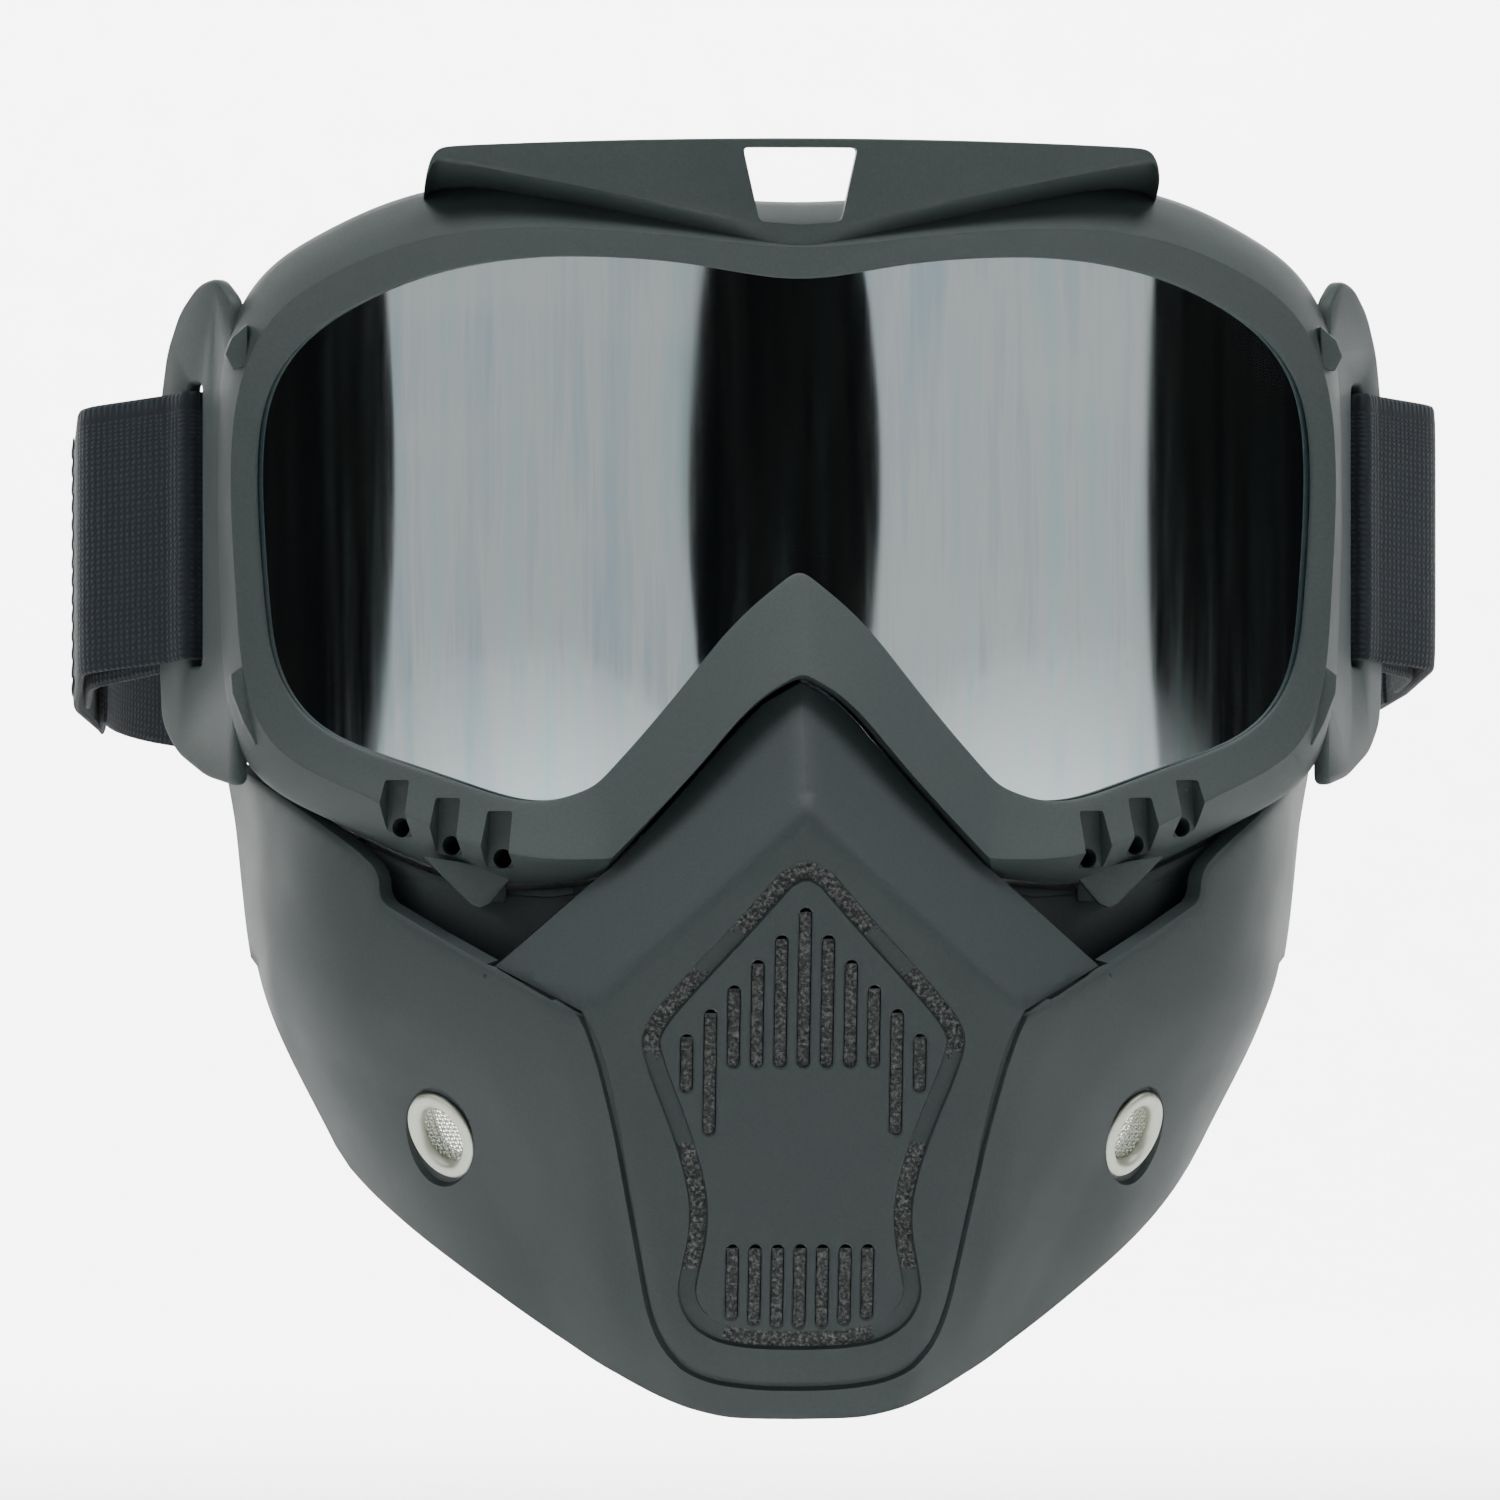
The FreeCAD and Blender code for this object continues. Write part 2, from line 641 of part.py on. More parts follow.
def pocket_walls():
    """The ledge behind each wing's stepped edge, the pocket's back wall and its tongue."""
    ledge = strip([(32.6, -79.2), (59.6, -63.4), (60.2, -58.4), (66, -53.4)], 2.0)
    ledge = ledge.common(mask_layer(0.4, 17.0))
    outline = [(28.5, -58.6), (36, -60.4), (44, -60.0), (53, -57.6), (67.6, -50.8), (78.8, -43.6), (83, -40),
               (83, -44), (68.6, -54.4), (62.4, -59.4), (61.4, -64.4), (41.5, -75.2), (36, -66)]
    lens_axis = V(0, dim("lens_radius") - dim("lens_front"), -90)
    wall = Part.makeCylinder(dim("pocket_radius"), 90, lens_axis)
    wall = wall.cut(Part.makeCylinder(dim("pocket_radius") - 3.4, 90, lens_axis)).common(prism(outline, -60, 20))
    tongue = tongue_box(0.0, -53.6, -62)
    return [ledge, wall, tongue]


# The shield on the mouth panel: half of the groove's centre line, from its apex down.
SHIELD = [(0, -58.6), (8.4, -66.2), (15.8, -73.2), (21.6, -79.6), (21.4, -83.6), (17.6, -92),
          (15.4, -99), (14.9, -108), (15.2, -116), (16.2, -121.5), (14.4, -125.6), (9, -127.8), (0, -128.4)]
# Breathing slots: x, top and bottom of each on the right side and the middle.
UPPER_SLOTS = [(0, -63.0, -86.2), (3.4, -66.8, -86.2), (6.8, -70.6, -86.2), (10.2, -74.6, -86.2),
               (13.6, -78.0, -96.2), (17.0, -81.6, -90.2)]
LOWER_SLOTS = [(0, -112.2, -124.6), (3.3, -112.2, -124.4), (6.6, -112.2, -124.0), (9.9, -112.2, -123.4)]


def round_slot(x, top, bottom):
    """A breathing slot with round ends, run through the panel."""
    half = dim("slot_width") / 2
    high, low = top - half, bottom + half
    edges = [
        Part.LineSegment(V(x - half, -90, low), V(x - half, -90, high)).toShape(),
        Part.Arc(V(x - half, -90, high), V(x, -90, top), V(x + half, -90, high)).toShape(),
        Part.LineSegment(V(x + half, -90, high), V(x + half, -90, low)).toShape(),
        Part.Arc(V(x + half, -90, low), V(x, -90, bottom), V(x - half, -90, low)).toShape(),
    ]
    return Part.Face(Part.Wire(edges)).extrude(V(0, 60, 0))


def surface_normal(x, level):
    """The outward normal of the mask's surface."""
    step = 0.5
    slope_x = (surface_depth(x + step, level) - surface_depth(x - step, level)) / (2 * step)
    slope_z = (surface_depth(x, level + step) - surface_depth(x, level - step)) / (2 * step)
    return V(slope_x, -1, slope_z).normalize()


EYELET_POINT = V(dim("eyelet_x"), surface_depth(dim("eyelet_x"), dim("eyelet_level")), dim("eyelet_level"))
EYELET_AXIS = surface_normal(dim("eyelet_x"), dim("eyelet_level"))


def build_mask():
    """The mask shell in one piece."""
    shell = mask_layer(0.0, dim("mask_wall"))
    top = [PANEL_TOP] + WING_EDGE
    shell = shell.common(prism(jaw_outline(top)))
    roof, on_facet = nose_roof()
    extras = [roof]
    for wall in pocket_walls():
        extras += [wall, mirrored(wall)]
    shell = shell.fuse(extras)
    shell = shell.cut(frame_envelope(0.7))
    tongue = tongue_box(0.0, -53.6, -62)
    shell = shell.fuse([tongue, mirrored(tongue)])
    skin = mask_layer(-1.0, dim("groove_depth"))
    seam = strip([(33.4, -78.6), (29.6, -84), (19.6, -123), (17.4, -130), (14, -132.6), (0, -133.4)], 1.0)
    shield = strip(SHIELD, dim("groove_width"))
    grooves = skin.common(seam.fuse([mirrored(seam), shield, mirrored(shield)]))
    cuts = [grooves]
    for x, top_end, bottom_end in UPPER_SLOTS + LOWER_SLOTS:
        slot = round_slot(x, top_end, bottom_end)
        cuts += [slot] if x == 0 else [slot, mirrored(slot)]
    hole = Part.makeCylinder(dim("barrel_dia") / 2 + 0.1, 14, EYELET_POINT - EYELET_AXIS * 10, EYELET_AXIS)
    seat = Part.makeCylinder(dim("flange_dia") / 2 + 0.3, 6,
                             EYELET_POINT - EYELET_AXIS * dim("eyelet_seat"), EYELET_AXIS)
    back_seat = Part.makeCylinder(dim("washer_dia") / 2 + 0.3, 8,
                                  EYELET_POINT - EYELET_AXIS * (dim("washer_depth") - 0.05), EYELET_AXIS * -1)
    cuts += [hole, seat, back_seat]
    cuts += [mirrored(hole), mirrored(seat), mirrored(back_seat)]
    return shell.cut(cuts)


add_feature("mask_shell", build_mask())

# ---------------------------------------------------------------- breathing filter and its retainer
FILTER = [(0, -60.4), (8.5, -68.2), (17.6, -77.6), (19.6, -84), (16.6, -97), (15.8, -108), (15.6, -121),
          (12, -125.6), (0, -126.4)]


def grown(outline, distance):
    """A closed front-view outline offset outwards, as a face in the plane of the front."""
    points = both_sides(outline)
    wire = Part.makePolygon([V(x, z, 0) for x, z in points + points[:1]])
    face = Part.Face(wire.makeOffset2D(distance, 2) if distance else wire)
    face.rotate(V(0, 0, 0), V(1, 0, 0), 90)
    face.translate(V(0, 10, 0))
    return face.extrude(V(0, -80, 0))


foam_front = dim("mask_wall") + dim("gap")
foam_back = foam_front + dim("filter_thick")
filter_block = grown(FILTER, 0)
add_feature("mouth_filter", mask_layer(foam_front, foam_back).common(filter_block))

tray_back = foam_back + 0.1 + dim("retainer_thick")
rim = mask_layer(foam_front, tray_back).common(grown(FILTER, 1.5).cut(grown(FILTER, 0.3)))
ribs = [Part.makeBox(60, 60, 2.4, V(-30, -70, z)) for z in (-77, -91, -105, -119)]
ribs.append(Part.makeBox(2.4, 60, 80, V(-1.2, -70, -135)))
lattice = ribs[0].fuse(ribs[1:]).common(grown(FILTER, 1.2))
lattice = mask_layer(foam_back + 0.1, tray_back).common(lattice)
add_feature("filter_retainer", rim.fuse(lattice))

# ---------------------------------------------------------------- eyelets, washers and wire mesh


def add_eyelet(side, point, axis):
    """An eyelet with its washer and its disc of wire mesh, standing on the mask along an axis."""
    place = FreeCAD.Placement(point, FreeCAD.Rotation(UP, axis))
    flange_foot = -dim("eyelet_seat") + 0.1
    flange_part = bound("Part::Cylinder", f"flange_{side}", (0, 0, flange_foot),
                        Radius="Dimensions.flange_dia / 2", Height="Dimensions.flange_thick")
    barrel = bound("Part::Cylinder", f"barrel_{side}", (0, 0, -dim("eyelet_length")),
                   Radius="Dimensions.barrel_dia / 2", Height="Dimensions.eyelet_length - 0.5")
    curl = bound("Part::Cylinder", f"curl_{side}", (0, 0, -dim("eyelet_length")),
                 Radius="Dimensions.eyelet_curl_dia / 2", Height="0.5")
    body = doc.addObject("Part::MultiFuse", f"eyelet_{side}_body")
    body.Shapes = [flange_part, barrel, curl]
    bore = bound("Part::Cylinder", f"bore_{side}", (0, 0, -10), Radius="Dimensions.bore_dia / 2", Height="20")
    eyelet = cut_from(f"eyelet_{side}", body, [bore])

    disc = bound("Part::Cylinder", f"disc_{side}", (0, 0, -dim("washer_depth") - dim("washer_thick")),
                 Radius="Dimensions.washer_dia / 2", Height="Dimensions.washer_thick")
    hole = bound("Part::Cylinder", f"hole_{side}", (0, 0, -10),
                 Radius="Dimensions.barrel_dia / 2 + 0.1", Height="20")
    washer = cut_from(f"eyelet_washer_{side}", disc, [hole])

    radius, wire = dim("bore_dia") / 2 - 0.1, dim("wire_dia")
    rim_ring = Part.makeCylinder(radius, 0.6, V(0, 0, -0.3)).cut(
        Part.makeCylinder(radius - 0.3, 0.6, V(0, 0, -0.3)))
    wires = []
    for step in range(-4, 5):
        across = step * dim("wire_pitch")
        reach = math.sqrt((radius - 0.1) ** 2 - across ** 2)
        layer = 0.45 * wire
        wires.append(Part.makeCylinder(wire / 2, 2 * reach, V(across, -reach, layer), V(0, 1, 0)))
        wires.append(Part.makeCylinder(wire / 2, 2 * reach, V(-reach, across, -layer), V(1, 0, 0)))
    mesh = add_feature(f"eyelet_mesh_{side}", rim_ring.fuse(wires))

    for node in (eyelet, washer):
        node.Placement = place
    mesh.Placement = FreeCAD.Placement(point - axis * 2.2, FreeCAD.Rotation(UP, axis))
    return [eyelet, washer]


EYELETS = add_eyelet("right", EYELET_POINT, EYELET_AXIS)
EYELETS += add_eyelet("left", V(-EYELET_POINT.x, EYELET_POINT.y, EYELET_POINT.z),
                      V(-EYELET_AXIS.x, EYELET_AXIS.y, EYELET_AXIS.z))

# ---------------------------------------------------------------- save
doc.recompute()
os.makedirs("parts", exist_ok=True)
for thing in doc.Objects:
    if {"Invalid", "Error"} & set(thing.State):
        raise RuntimeError(f"{thing.Label} failed: {thing.State}")
nodes = [thing for thing in doc.Objects if thing.TypeId == "Part::Feature"] + SLIDERS + EYELETS
for node in nodes:
    shape = node.Shape
    if shape.isNull() or not shape.isValid():
        raise RuntimeError(f"{node.Label} has no valid shape")
    shape.exportStep(f"parts/{node.Label}.step")
    print(node.Label, round(shape.Volume), len(shape.Solids))
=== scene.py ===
"""Wraparound riding goggles with a clip-on face mask: the looks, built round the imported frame."""

from __future__ import annotations

import json
import logging
import math
from dataclasses import dataclass, field
from enum import Enum
from typing import Sequence

import bmesh
import bpy
import numpy as np
from mathutils import Matrix, Vector
from mathutils.geometry import delaunay_2d_cdt

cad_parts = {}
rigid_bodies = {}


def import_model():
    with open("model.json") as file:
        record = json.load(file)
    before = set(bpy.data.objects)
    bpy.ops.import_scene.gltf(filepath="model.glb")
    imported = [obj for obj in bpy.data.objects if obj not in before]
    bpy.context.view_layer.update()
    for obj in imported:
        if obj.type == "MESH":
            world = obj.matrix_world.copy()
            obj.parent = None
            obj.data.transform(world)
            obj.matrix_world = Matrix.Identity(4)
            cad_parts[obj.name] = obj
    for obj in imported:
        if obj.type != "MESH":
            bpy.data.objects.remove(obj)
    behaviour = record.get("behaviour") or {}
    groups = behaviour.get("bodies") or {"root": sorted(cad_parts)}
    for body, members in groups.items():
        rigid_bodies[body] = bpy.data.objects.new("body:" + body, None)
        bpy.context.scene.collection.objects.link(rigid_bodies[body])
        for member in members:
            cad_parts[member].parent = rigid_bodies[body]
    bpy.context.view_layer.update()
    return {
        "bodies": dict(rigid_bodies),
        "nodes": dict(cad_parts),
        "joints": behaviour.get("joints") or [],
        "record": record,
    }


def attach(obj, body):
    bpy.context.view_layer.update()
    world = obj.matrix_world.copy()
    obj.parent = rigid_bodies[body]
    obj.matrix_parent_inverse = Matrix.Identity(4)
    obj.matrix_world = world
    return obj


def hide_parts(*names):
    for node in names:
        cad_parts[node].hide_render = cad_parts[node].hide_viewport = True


LOG = logging.getLogger("goggles")
MM = 0.001
STRAP_MAP = "strap"
POCKET_CENTRE, POCKET_RADIUS = 80.0, 113.6
ABS_IOR = 1.53
Point = tuple[float, float]


# ---------------------------------------------------------------- small tools


def linear(code: str) -> tuple[float, float, float, float]:
    """An sRGB hex colour as linear red, green, blue and alpha."""
    parts = [int(code[i:i + 2], 16) / 255 for i in (1, 3, 5)]
    values = [p / 12.92 if p <= 0.04045 else ((p + 0.055) / 1.055) ** 2.4 for p in parts]
    return (values[0], values[1], values[2], 1.0)


def add_node(tree: bpy.types.NodeTree, kind: str, inputs: dict | None = None, **settings) -> bpy.types.Node:
    """Adds a node to a tree.

    Args:
        tree: the node tree.
        kind: the node's type.
        inputs: what each input gets, a socket to link or a plain value.
        settings: properties of the node itself.

    Returns:
        The new node.
    """
    node = tree.nodes.new(kind)
    for name, value in settings.items():
        setattr(node, name, value)
    for key, value in (inputs or {}).items():
        if isinstance(value, bpy.types.NodeSocket):
            tree.links.new(value, node.inputs[key])
        else:
            node.inputs[key].default_value = value
    return node


def spline(knots: Sequence[float], values: np.ndarray, at: Sequence[float]) -> np.ndarray:
    """A natural cubic spline through values, evaluated at other places.

    Args:
        knots: the rising places of the values.
        values: one row for each knot.
        at: where to evaluate.

    Returns:
        One row for each place in at.
    """
    knots, values, at = np.asarray(knots, float), np.asarray(values, float), np.asarray(at, float)
    flat = values.ndim == 1
    values = values.reshape(len(knots), -1)
    steps = np.diff(knots)
    matrix, right = np.eye(len(knots)), np.zeros_like(values)
    for i in range(1, len(knots) - 1):
        matrix[i, i - 1:i + 2] = steps[i - 1], 2 * (steps[i - 1] + steps[i]), steps[i]
        right[i] = 6 * ((values[i + 1] - values[i]) / steps[i] - (values[i] - values[i - 1]) / steps[i - 1])
    bends = np.linalg.solve(matrix, right)
    i = np.clip(np.searchsorted(knots, at, side="right") - 1, 0, len(knots) - 2)
    h = steps[i][:, None]
    a, b = (knots[i + 1] - at)[:, None] / h, (at - knots[i])[:, None] / h
    result = (a * values[i] + b * values[i + 1]
              + ((a ** 3 - a) * bends[i] + (b ** 3 - b) * bends[i + 1]) * h ** 2 / 6)
    return result[:, 0] if flat else result


def both_sides(half: Sequence[Point]) -> list[Point]:
    """A half outline, from the middle round to the middle again, closed by its mirror image."""
    return list(half) + [(-x, z) for x, z in reversed(half) if x > 1e-6]


def rounded(points: Sequence[Point], times: int = 2, closed: bool = False) -> list[Point]:
    """A polyline with its corners cut a few times, which rounds them.

    Args:
        points: the corners.
        times: how often to cut.
        closed: whether the last point joins the first.

    Returns:
        The rounded polyline.
    """
    for _ in range(times):
        pairs = list(zip(points, points[1:] + points[:1] if closed else points[1:]))
        cut = []
        for (ax, az), (bx, bz) in pairs:
            cut += [(near * ax + (1 - near) * bx, near * az + (1 - near) * bz) for near in (0.75, 0.25)]
        points = cut if closed else [points[0]] + cut[1:-1] + [points[-1]]
    return list(points)


def resampled(points: Sequence[Point], step: float) -> np.ndarray:
    """A polyline with points added so that none lie further apart than a step; its corners stay."""
    filled = [np.asarray(points[0], float)]
    for a, b in zip(points, points[1:]):
        a, b = np.asarray(a, float), np.asarray(b, float)
        count = max(1, math.ceil(np.linalg.norm(b - a) / step))
        filled += [a + (b - a) * k / count for k in range(1, count + 1)]
    return np.array(filled)


def distance_to(line: np.ndarray, places: np.ndarray) -> np.ndarray:
    """The shortest distance from each place to a polyline."""
    best = np.full(len(places), 1e9)
    for a, b in zip(line, line[1:]):
        run = b - a
        share = np.clip(((places - a) @ run) / max(run @ run, 1e-12), 0, 1)
        best = np.minimum(best, np.linalg.norm(places - a - share[:, None] * run, axis=1))
    return best


def inside(outline: np.ndarray, places: np.ndarray) -> np.ndarray:
    """Which places lie inside a closed outline."""
    x, z = places[:, 0], places[:, 1]
    result = np.zeros(len(places), bool)
    for (ax, az), (bx, bz) in zip(outline, np.roll(outline, -1, axis=0)):
        crosses = (az > z) != (bz > z)
        with np.errstate(divide="ignore", invalid="ignore"):
            result ^= crosses & (x < (bx - ax) * (z - az) / (bz - az) + ax)
    return result


def smooth_step(value: np.ndarray) -> np.ndarray:
    """0 below 0, 1 above 1, and an even turn between."""
    value = np.clip(value, 0, 1)
    return value * value * (3 - 2 * value)


# ---------------------------------------------------------------- mesh helpers


def new_object(name: str, vertices: Sequence, faces: Sequence, finish: bpy.types.Material | None = None,
               edges: Sequence = ()) -> bpy.types.Object:
    """A mesh object from vertices in millimetres, faces and loose edges."""
    mesh = bpy.data.meshes.new(name)
    metres = [tuple(float(c) * MM for c in v) for v in vertices]
    mesh.from_pydata(metres, list(edges), [tuple(f) for f in faces])
    mesh.update()
    piece = bpy.data.objects.new(name, mesh)
    bpy.context.scene.collection.objects.link(piece)
    if finish:
        mesh.materials.append(finish)
    return piece


def outward(piece: bpy.types.Object, merge: float = 1e-6) -> bpy.types.Object:
    """Merges doubled vertices and turns a closed mesh's faces outwards."""
    mesh = bmesh.new()
    mesh.from_mesh(piece.data)
    bmesh.ops.remove_doubles(mesh, verts=mesh.verts, dist=merge)
    bmesh.ops.recalc_face_normals(mesh, faces=mesh.faces)
    mesh.to_mesh(piece.data)
    mesh.free()
    return piece


def frozen(piece: bpy.types.Object) -> bpy.types.Object:
    """Turns the result of a piece's modifiers into its plain mesh."""
    graph = bpy.context.evaluated_depsgraph_get()
    graph.update()
    old, name = piece.data, piece.data.name
    mesh = bpy.data.meshes.new_from_object(piece.evaluated_get(graph))
    piece.modifiers.clear()
    piece.data = mesh
    bpy.data.meshes.remove(old)
    mesh.name = name
    return piece


def subdivided(piece: bpy.types.Object, levels: int) -> bpy.types.Object:
    """A piece made smooth by subdivision."""
    step = piece.modifiers.new("smooth", "SUBSURF")
    step.levels = step.render_levels = levels
    return frozen(piece)


def combined(piece: bpy.types.Object, other: bpy.types.Object, operation: str) -> bpy.types.Object:
    """Joins another solid to a piece, or cuts it away; the other is used up."""
    step = piece.modifiers.new("shape", "BOOLEAN")
    step.operation, step.solver, step.object = operation, "EXACT", other
    frozen(piece)
    bpy.data.objects.remove(other)
    return piece


def fused(piece: bpy.types.Object, other: bpy.types.Object) -> bpy.types.Object:
    """Joins another solid to a piece, and only lays it beside the piece where the solids can't be united."""
    whole, spare = piece.data.copy(), other.copy()
    spare.data = other.data.copy()
    bpy.context.scene.collection.objects.link(spare)
    combined(piece, other, "UNION")
    if len(piece.data.polygons) > len(whole.polygons) / 2:
        bpy.data.objects.remove(spare)
        return piece
    piece.data = whole
    return joined(piece.name, [piece, spare])


def bevelled(piece: bpy.types.Object, width: float, segments: int = 3, angle: float = 30.0
             ) -> bpy.types.Object:
    """Rounds a piece's sharp edges by a width in millimetres."""
    step = piece.modifiers.new("edges", "BEVEL")
    step.width, step.segments = width * MM, segments
    step.limit_method, step.angle_limit = "ANGLE", math.radians(angle)
    step.use_clamp_overlap = True
    return frozen(piece)


def shaded(piece: bpy.types.Object, angle: float = 35.0) -> bpy.types.Object:
    """Smooth shading that breaks at edges sharper than an angle."""
    piece.data.polygons.foreach_set("use_smooth", [True] * len(piece.data.polygons))
    piece.data.set_sharp_from_angle(angle=math.radians(angle))
    return piece


def joined(name: str, pieces: Sequence[bpy.types.Object]) -> bpy.types.Object:
    """Several pieces as one object, under one name."""
    with bpy.context.temp_override(active_object=pieces[0], object=pieces[0],
                                   selected_editable_objects=list(pieces), selected_objects=list(pieces)):
        bpy.ops.object.join()
    pieces[0].name = pieces[0].data.name = name
    return pieces[0]


def prism(name: str, outline: Sequence[Point], front: float, rear: float) -> bpy.types.Object:
    """A front-view outline run straight back between two depths."""
    n = len(outline)
    vertices = [(x, front, z) for x, z in outline] + [(x, rear, z) for x, z in outline]
    faces = [tuple(range(n)), tuple(range(2 * n - 1, n - 1, -1))]
    faces += [(i, n + i, n + (i + 1) % n, (i + 1) % n) for i in range(n)]
    return outward(new_object(name, vertices, faces))


def mirrored(piece: bpy.types.Object, name: str) -> bpy.types.Object:
    """A copy of a piece on the other side of the middle plane."""
    twin = piece.copy()
    twin.data = piece.data.copy()
    twin.name = twin.data.name = name
    bpy.context.scene.collection.objects.link(twin)
    twin.data.transform(Matrix.Scale(-1, 4, Vector((1, 0, 0))))
    twin.data.flip_normals()
    return twin


def loft(name: str, rows: Sequence[np.ndarray], creases: Sequence[float], closed_rows: bool = True,
         finish: bpy.types.Material | None = None, caps: bool = False) -> bpy.types.Object:
    """A quad mesh over rows of points, with a crease along each row.

    Args:
        name: the object's name.
        rows: the points of each row; all rows have the same number.
        creases: how sharp each row stays under subdivision, from 0 to 1.
        closed_rows: whether the last point of a row joins the first.
        finish: the material.
        caps: whether to close the ends of open rows.

    Returns:
        The object; the last row joins the first.
    """
    count, width = len(rows), len(rows[0])
    faces = []
    for r in range(count):
        for c in range(width if closed_rows else width - 1):
            here, there, d = r * width, ((r + 1) % count) * width, (c + 1) % width
            faces.append((here + c, here + d, there + d, there + c))
    if caps:
        faces.append(tuple(r * width for r in range(count)))
        faces.append(tuple(r * width + width - 1 for r in reversed(range(count))))
    piece = new_object(name, np.concatenate(rows), faces, finish)
    mesh = bmesh.new()
    mesh.from_mesh(piece.data)
    layer = mesh.edges.layers.float.new("crease_edge")
    for edge in mesh.edges:
        a, b = (v.index // width for v in edge.verts)
        if a == b:
            edge[layer] = creases[a]
    bmesh.ops.recalc_face_normals(mesh, faces=mesh.faces)
    mesh.to_mesh(piece.data)
    mesh.free()
    return piece


def walled(name: str, front: np.ndarray, back: np.ndarray, corners: np.ndarray,
           finish: bpy.types.Material) -> bpy.types.Object:
    """Half a skin with its thickness, joined to its mirror image at the middle plane.

    Args:
        name: the object's name.
        front: the points of the half's front, right of the middle plane or on it.
        back: the points behind them, in the same order.
        corners: the three points of each triangle.
        finish: the material.

    Returns:
        The whole skin; the two halves still have to be merged where they meet.
    """
    on_middle = np.abs(front[:, 0]) < 1e-6
    n = len(front)
    edges = {(a, b) for triangle in corners for a, b in zip(triangle, np.roll(triangle, -1))}
    faces = [tuple(t) for t in corners] + [(c + n, b + n, a + n) for a, b, c in corners]
    faces += [(b, a, a + n, b + n) for a, b in edges
              if (b, a) not in edges and not (on_middle[a] and on_middle[b])]
    half = new_object(name, np.vstack([front, back]), faces, finish)
    return joined(name, [half, mirrored(half, name + "_twin")])


# ---------------------------------------------------------------- finishes


Source = bpy.types.NodeSocket | float


class Surface:
    """A material in the making: its node tree, its shader and short ways to add the usual nodes."""

    def __init__(self, name: str, own_map: str = "") -> None:
        """Starts a material.

        Args:
            name: the material's name.
            own_map: the mesh's map to place the pattern on; without one it lies in object space.
        """
        self.made = bpy.data.materials.new(name)
        self.made.use_nodes = True
        self.tree = self.made.node_tree
        self.shader = self.tree.nodes["Principled BSDF"]
        if own_map:
            self.place = self.add("UVMap", uv_map=own_map).outputs["UV"]
        else:
            self.place = self.add("TexCoord").outputs["Object"]

    def add(self, kind: str, inputs: dict | None = None, **settings) -> bpy.types.Node:
        """Adds a shader node, whose type is given without its first part."""
        return add_node(self.tree, "ShaderNode" + kind, inputs, **settings)

    def noise(self, size: float, detail: float, place: Source | None = None, **more) -> bpy.types.NodeSocket:
        """Noise with features about so many millimetres wide."""
        given = {"Vector": self.place if place is None else place, "Scale": 1 / (size * MM), "Detail": detail}
        return self.add("TexNoise", {**given, **more}).outputs["Fac"]

    def cells(self, size: float, place: Source | None = None) -> bpy.types.NodeSocket:
        """The distance to the middle of the nearest cell, for cells about so many millimetres wide."""
        given = {"Vector": self.place if place is None else place, "Scale": 1 / (size * MM)}
        return self.add("TexVoronoi", given).outputs["Distance"]

    def ranged(self, value: Source, low: float, high: float, to_low: float = 0.0, to_high: float = 1.0
               ) -> bpy.types.NodeSocket:
        """A value stretched from one range to another, and held at its ends."""
        return self.add("MapRange", {"Value": value, "From Min": low, "From Max": high, "To Min": to_low,
                                     "To Max": to_high}).outputs["Result"]

    def mix(self, share: Source, low: str | Source, high: str | Source, blend: str = "MIX"
            ) -> bpy.types.NodeSocket:
        """A mix of two colours, given as hex codes or sockets."""
        low, high = (linear(c) if isinstance(c, str) else c for c in (low, high))
        return self.add("Mix", {"Factor": share, "A": low, "B": high}, data_type="RGBA",
                        blend_type=blend).outputs["Result"]

    def sum(self, operation: str, first: Source, second: Source) -> bpy.types.NodeSocket:
        """The result of a Math node."""
        return self.add("Math", {0: first, 1: second}, operation=operation).outputs["Value"]

    def relief(self, height: Source, strength: float, depth: float) -> None:
        """Gives the surface a bump, whose depth is in millimetres."""
        bump = self.add("Bump", {"Height": height, "Strength": strength, "Distance": depth * MM})
        self.tree.links.new(bump.outputs["Normal"], self.shader.inputs["Normal"])

    def done(self, **values) -> bpy.types.Material:
        """The finished material.

        Args:
            values: what the shader's inputs get, with underscores for spaces.

        Returns:
            The material.
        """
        for name, value in values.items():
            socket = self.shader.inputs[name.replace("_", " ")]
            if isinstance(value, bpy.types.NodeSocket):
                self.tree.links.new(value, socket)
            else:
                socket.default_value = value
        return self.made


@dataclass(frozen=True)
class Moulded:
    """Injection-moulded ABS with a fine spark-eroded grain, which gives a dull, slightly greenish black."""

    name: str = "moulded_abs_black"
    colour: str = "#3b4545"
    shade: str = "#313b3b"
    roughness: float = 0.58
    grain_mm: float = 0.45          # the real grain is about 0.1 mm, too fine to show
    grain_depth_mm: float = 0.035

    def material(self) -> bpy.types.Material:
        """The node material."""
        made = Surface(self.name)
        grain, flow = made.noise(self.grain_mm, 2.0, Roughness=0.6), made.noise(18, 3.0)
        tone = made.mix(flow, self.shade, self.colour)
        speck = made.ranged(grain, 0.3, 0.7, 0.9, 1.12)
        gloss = made.ranged(flow, 0.3, 0.7, self.roughness - 0.05, self.roughness + 0.06)
        made.relief(grain, 0.6, self.grain_depth_mm)
        return made.done(Base_Color=made.mix(1.0, tone, speck, "MULTIPLY"), Roughness=gloss, IOR=ABS_IOR)


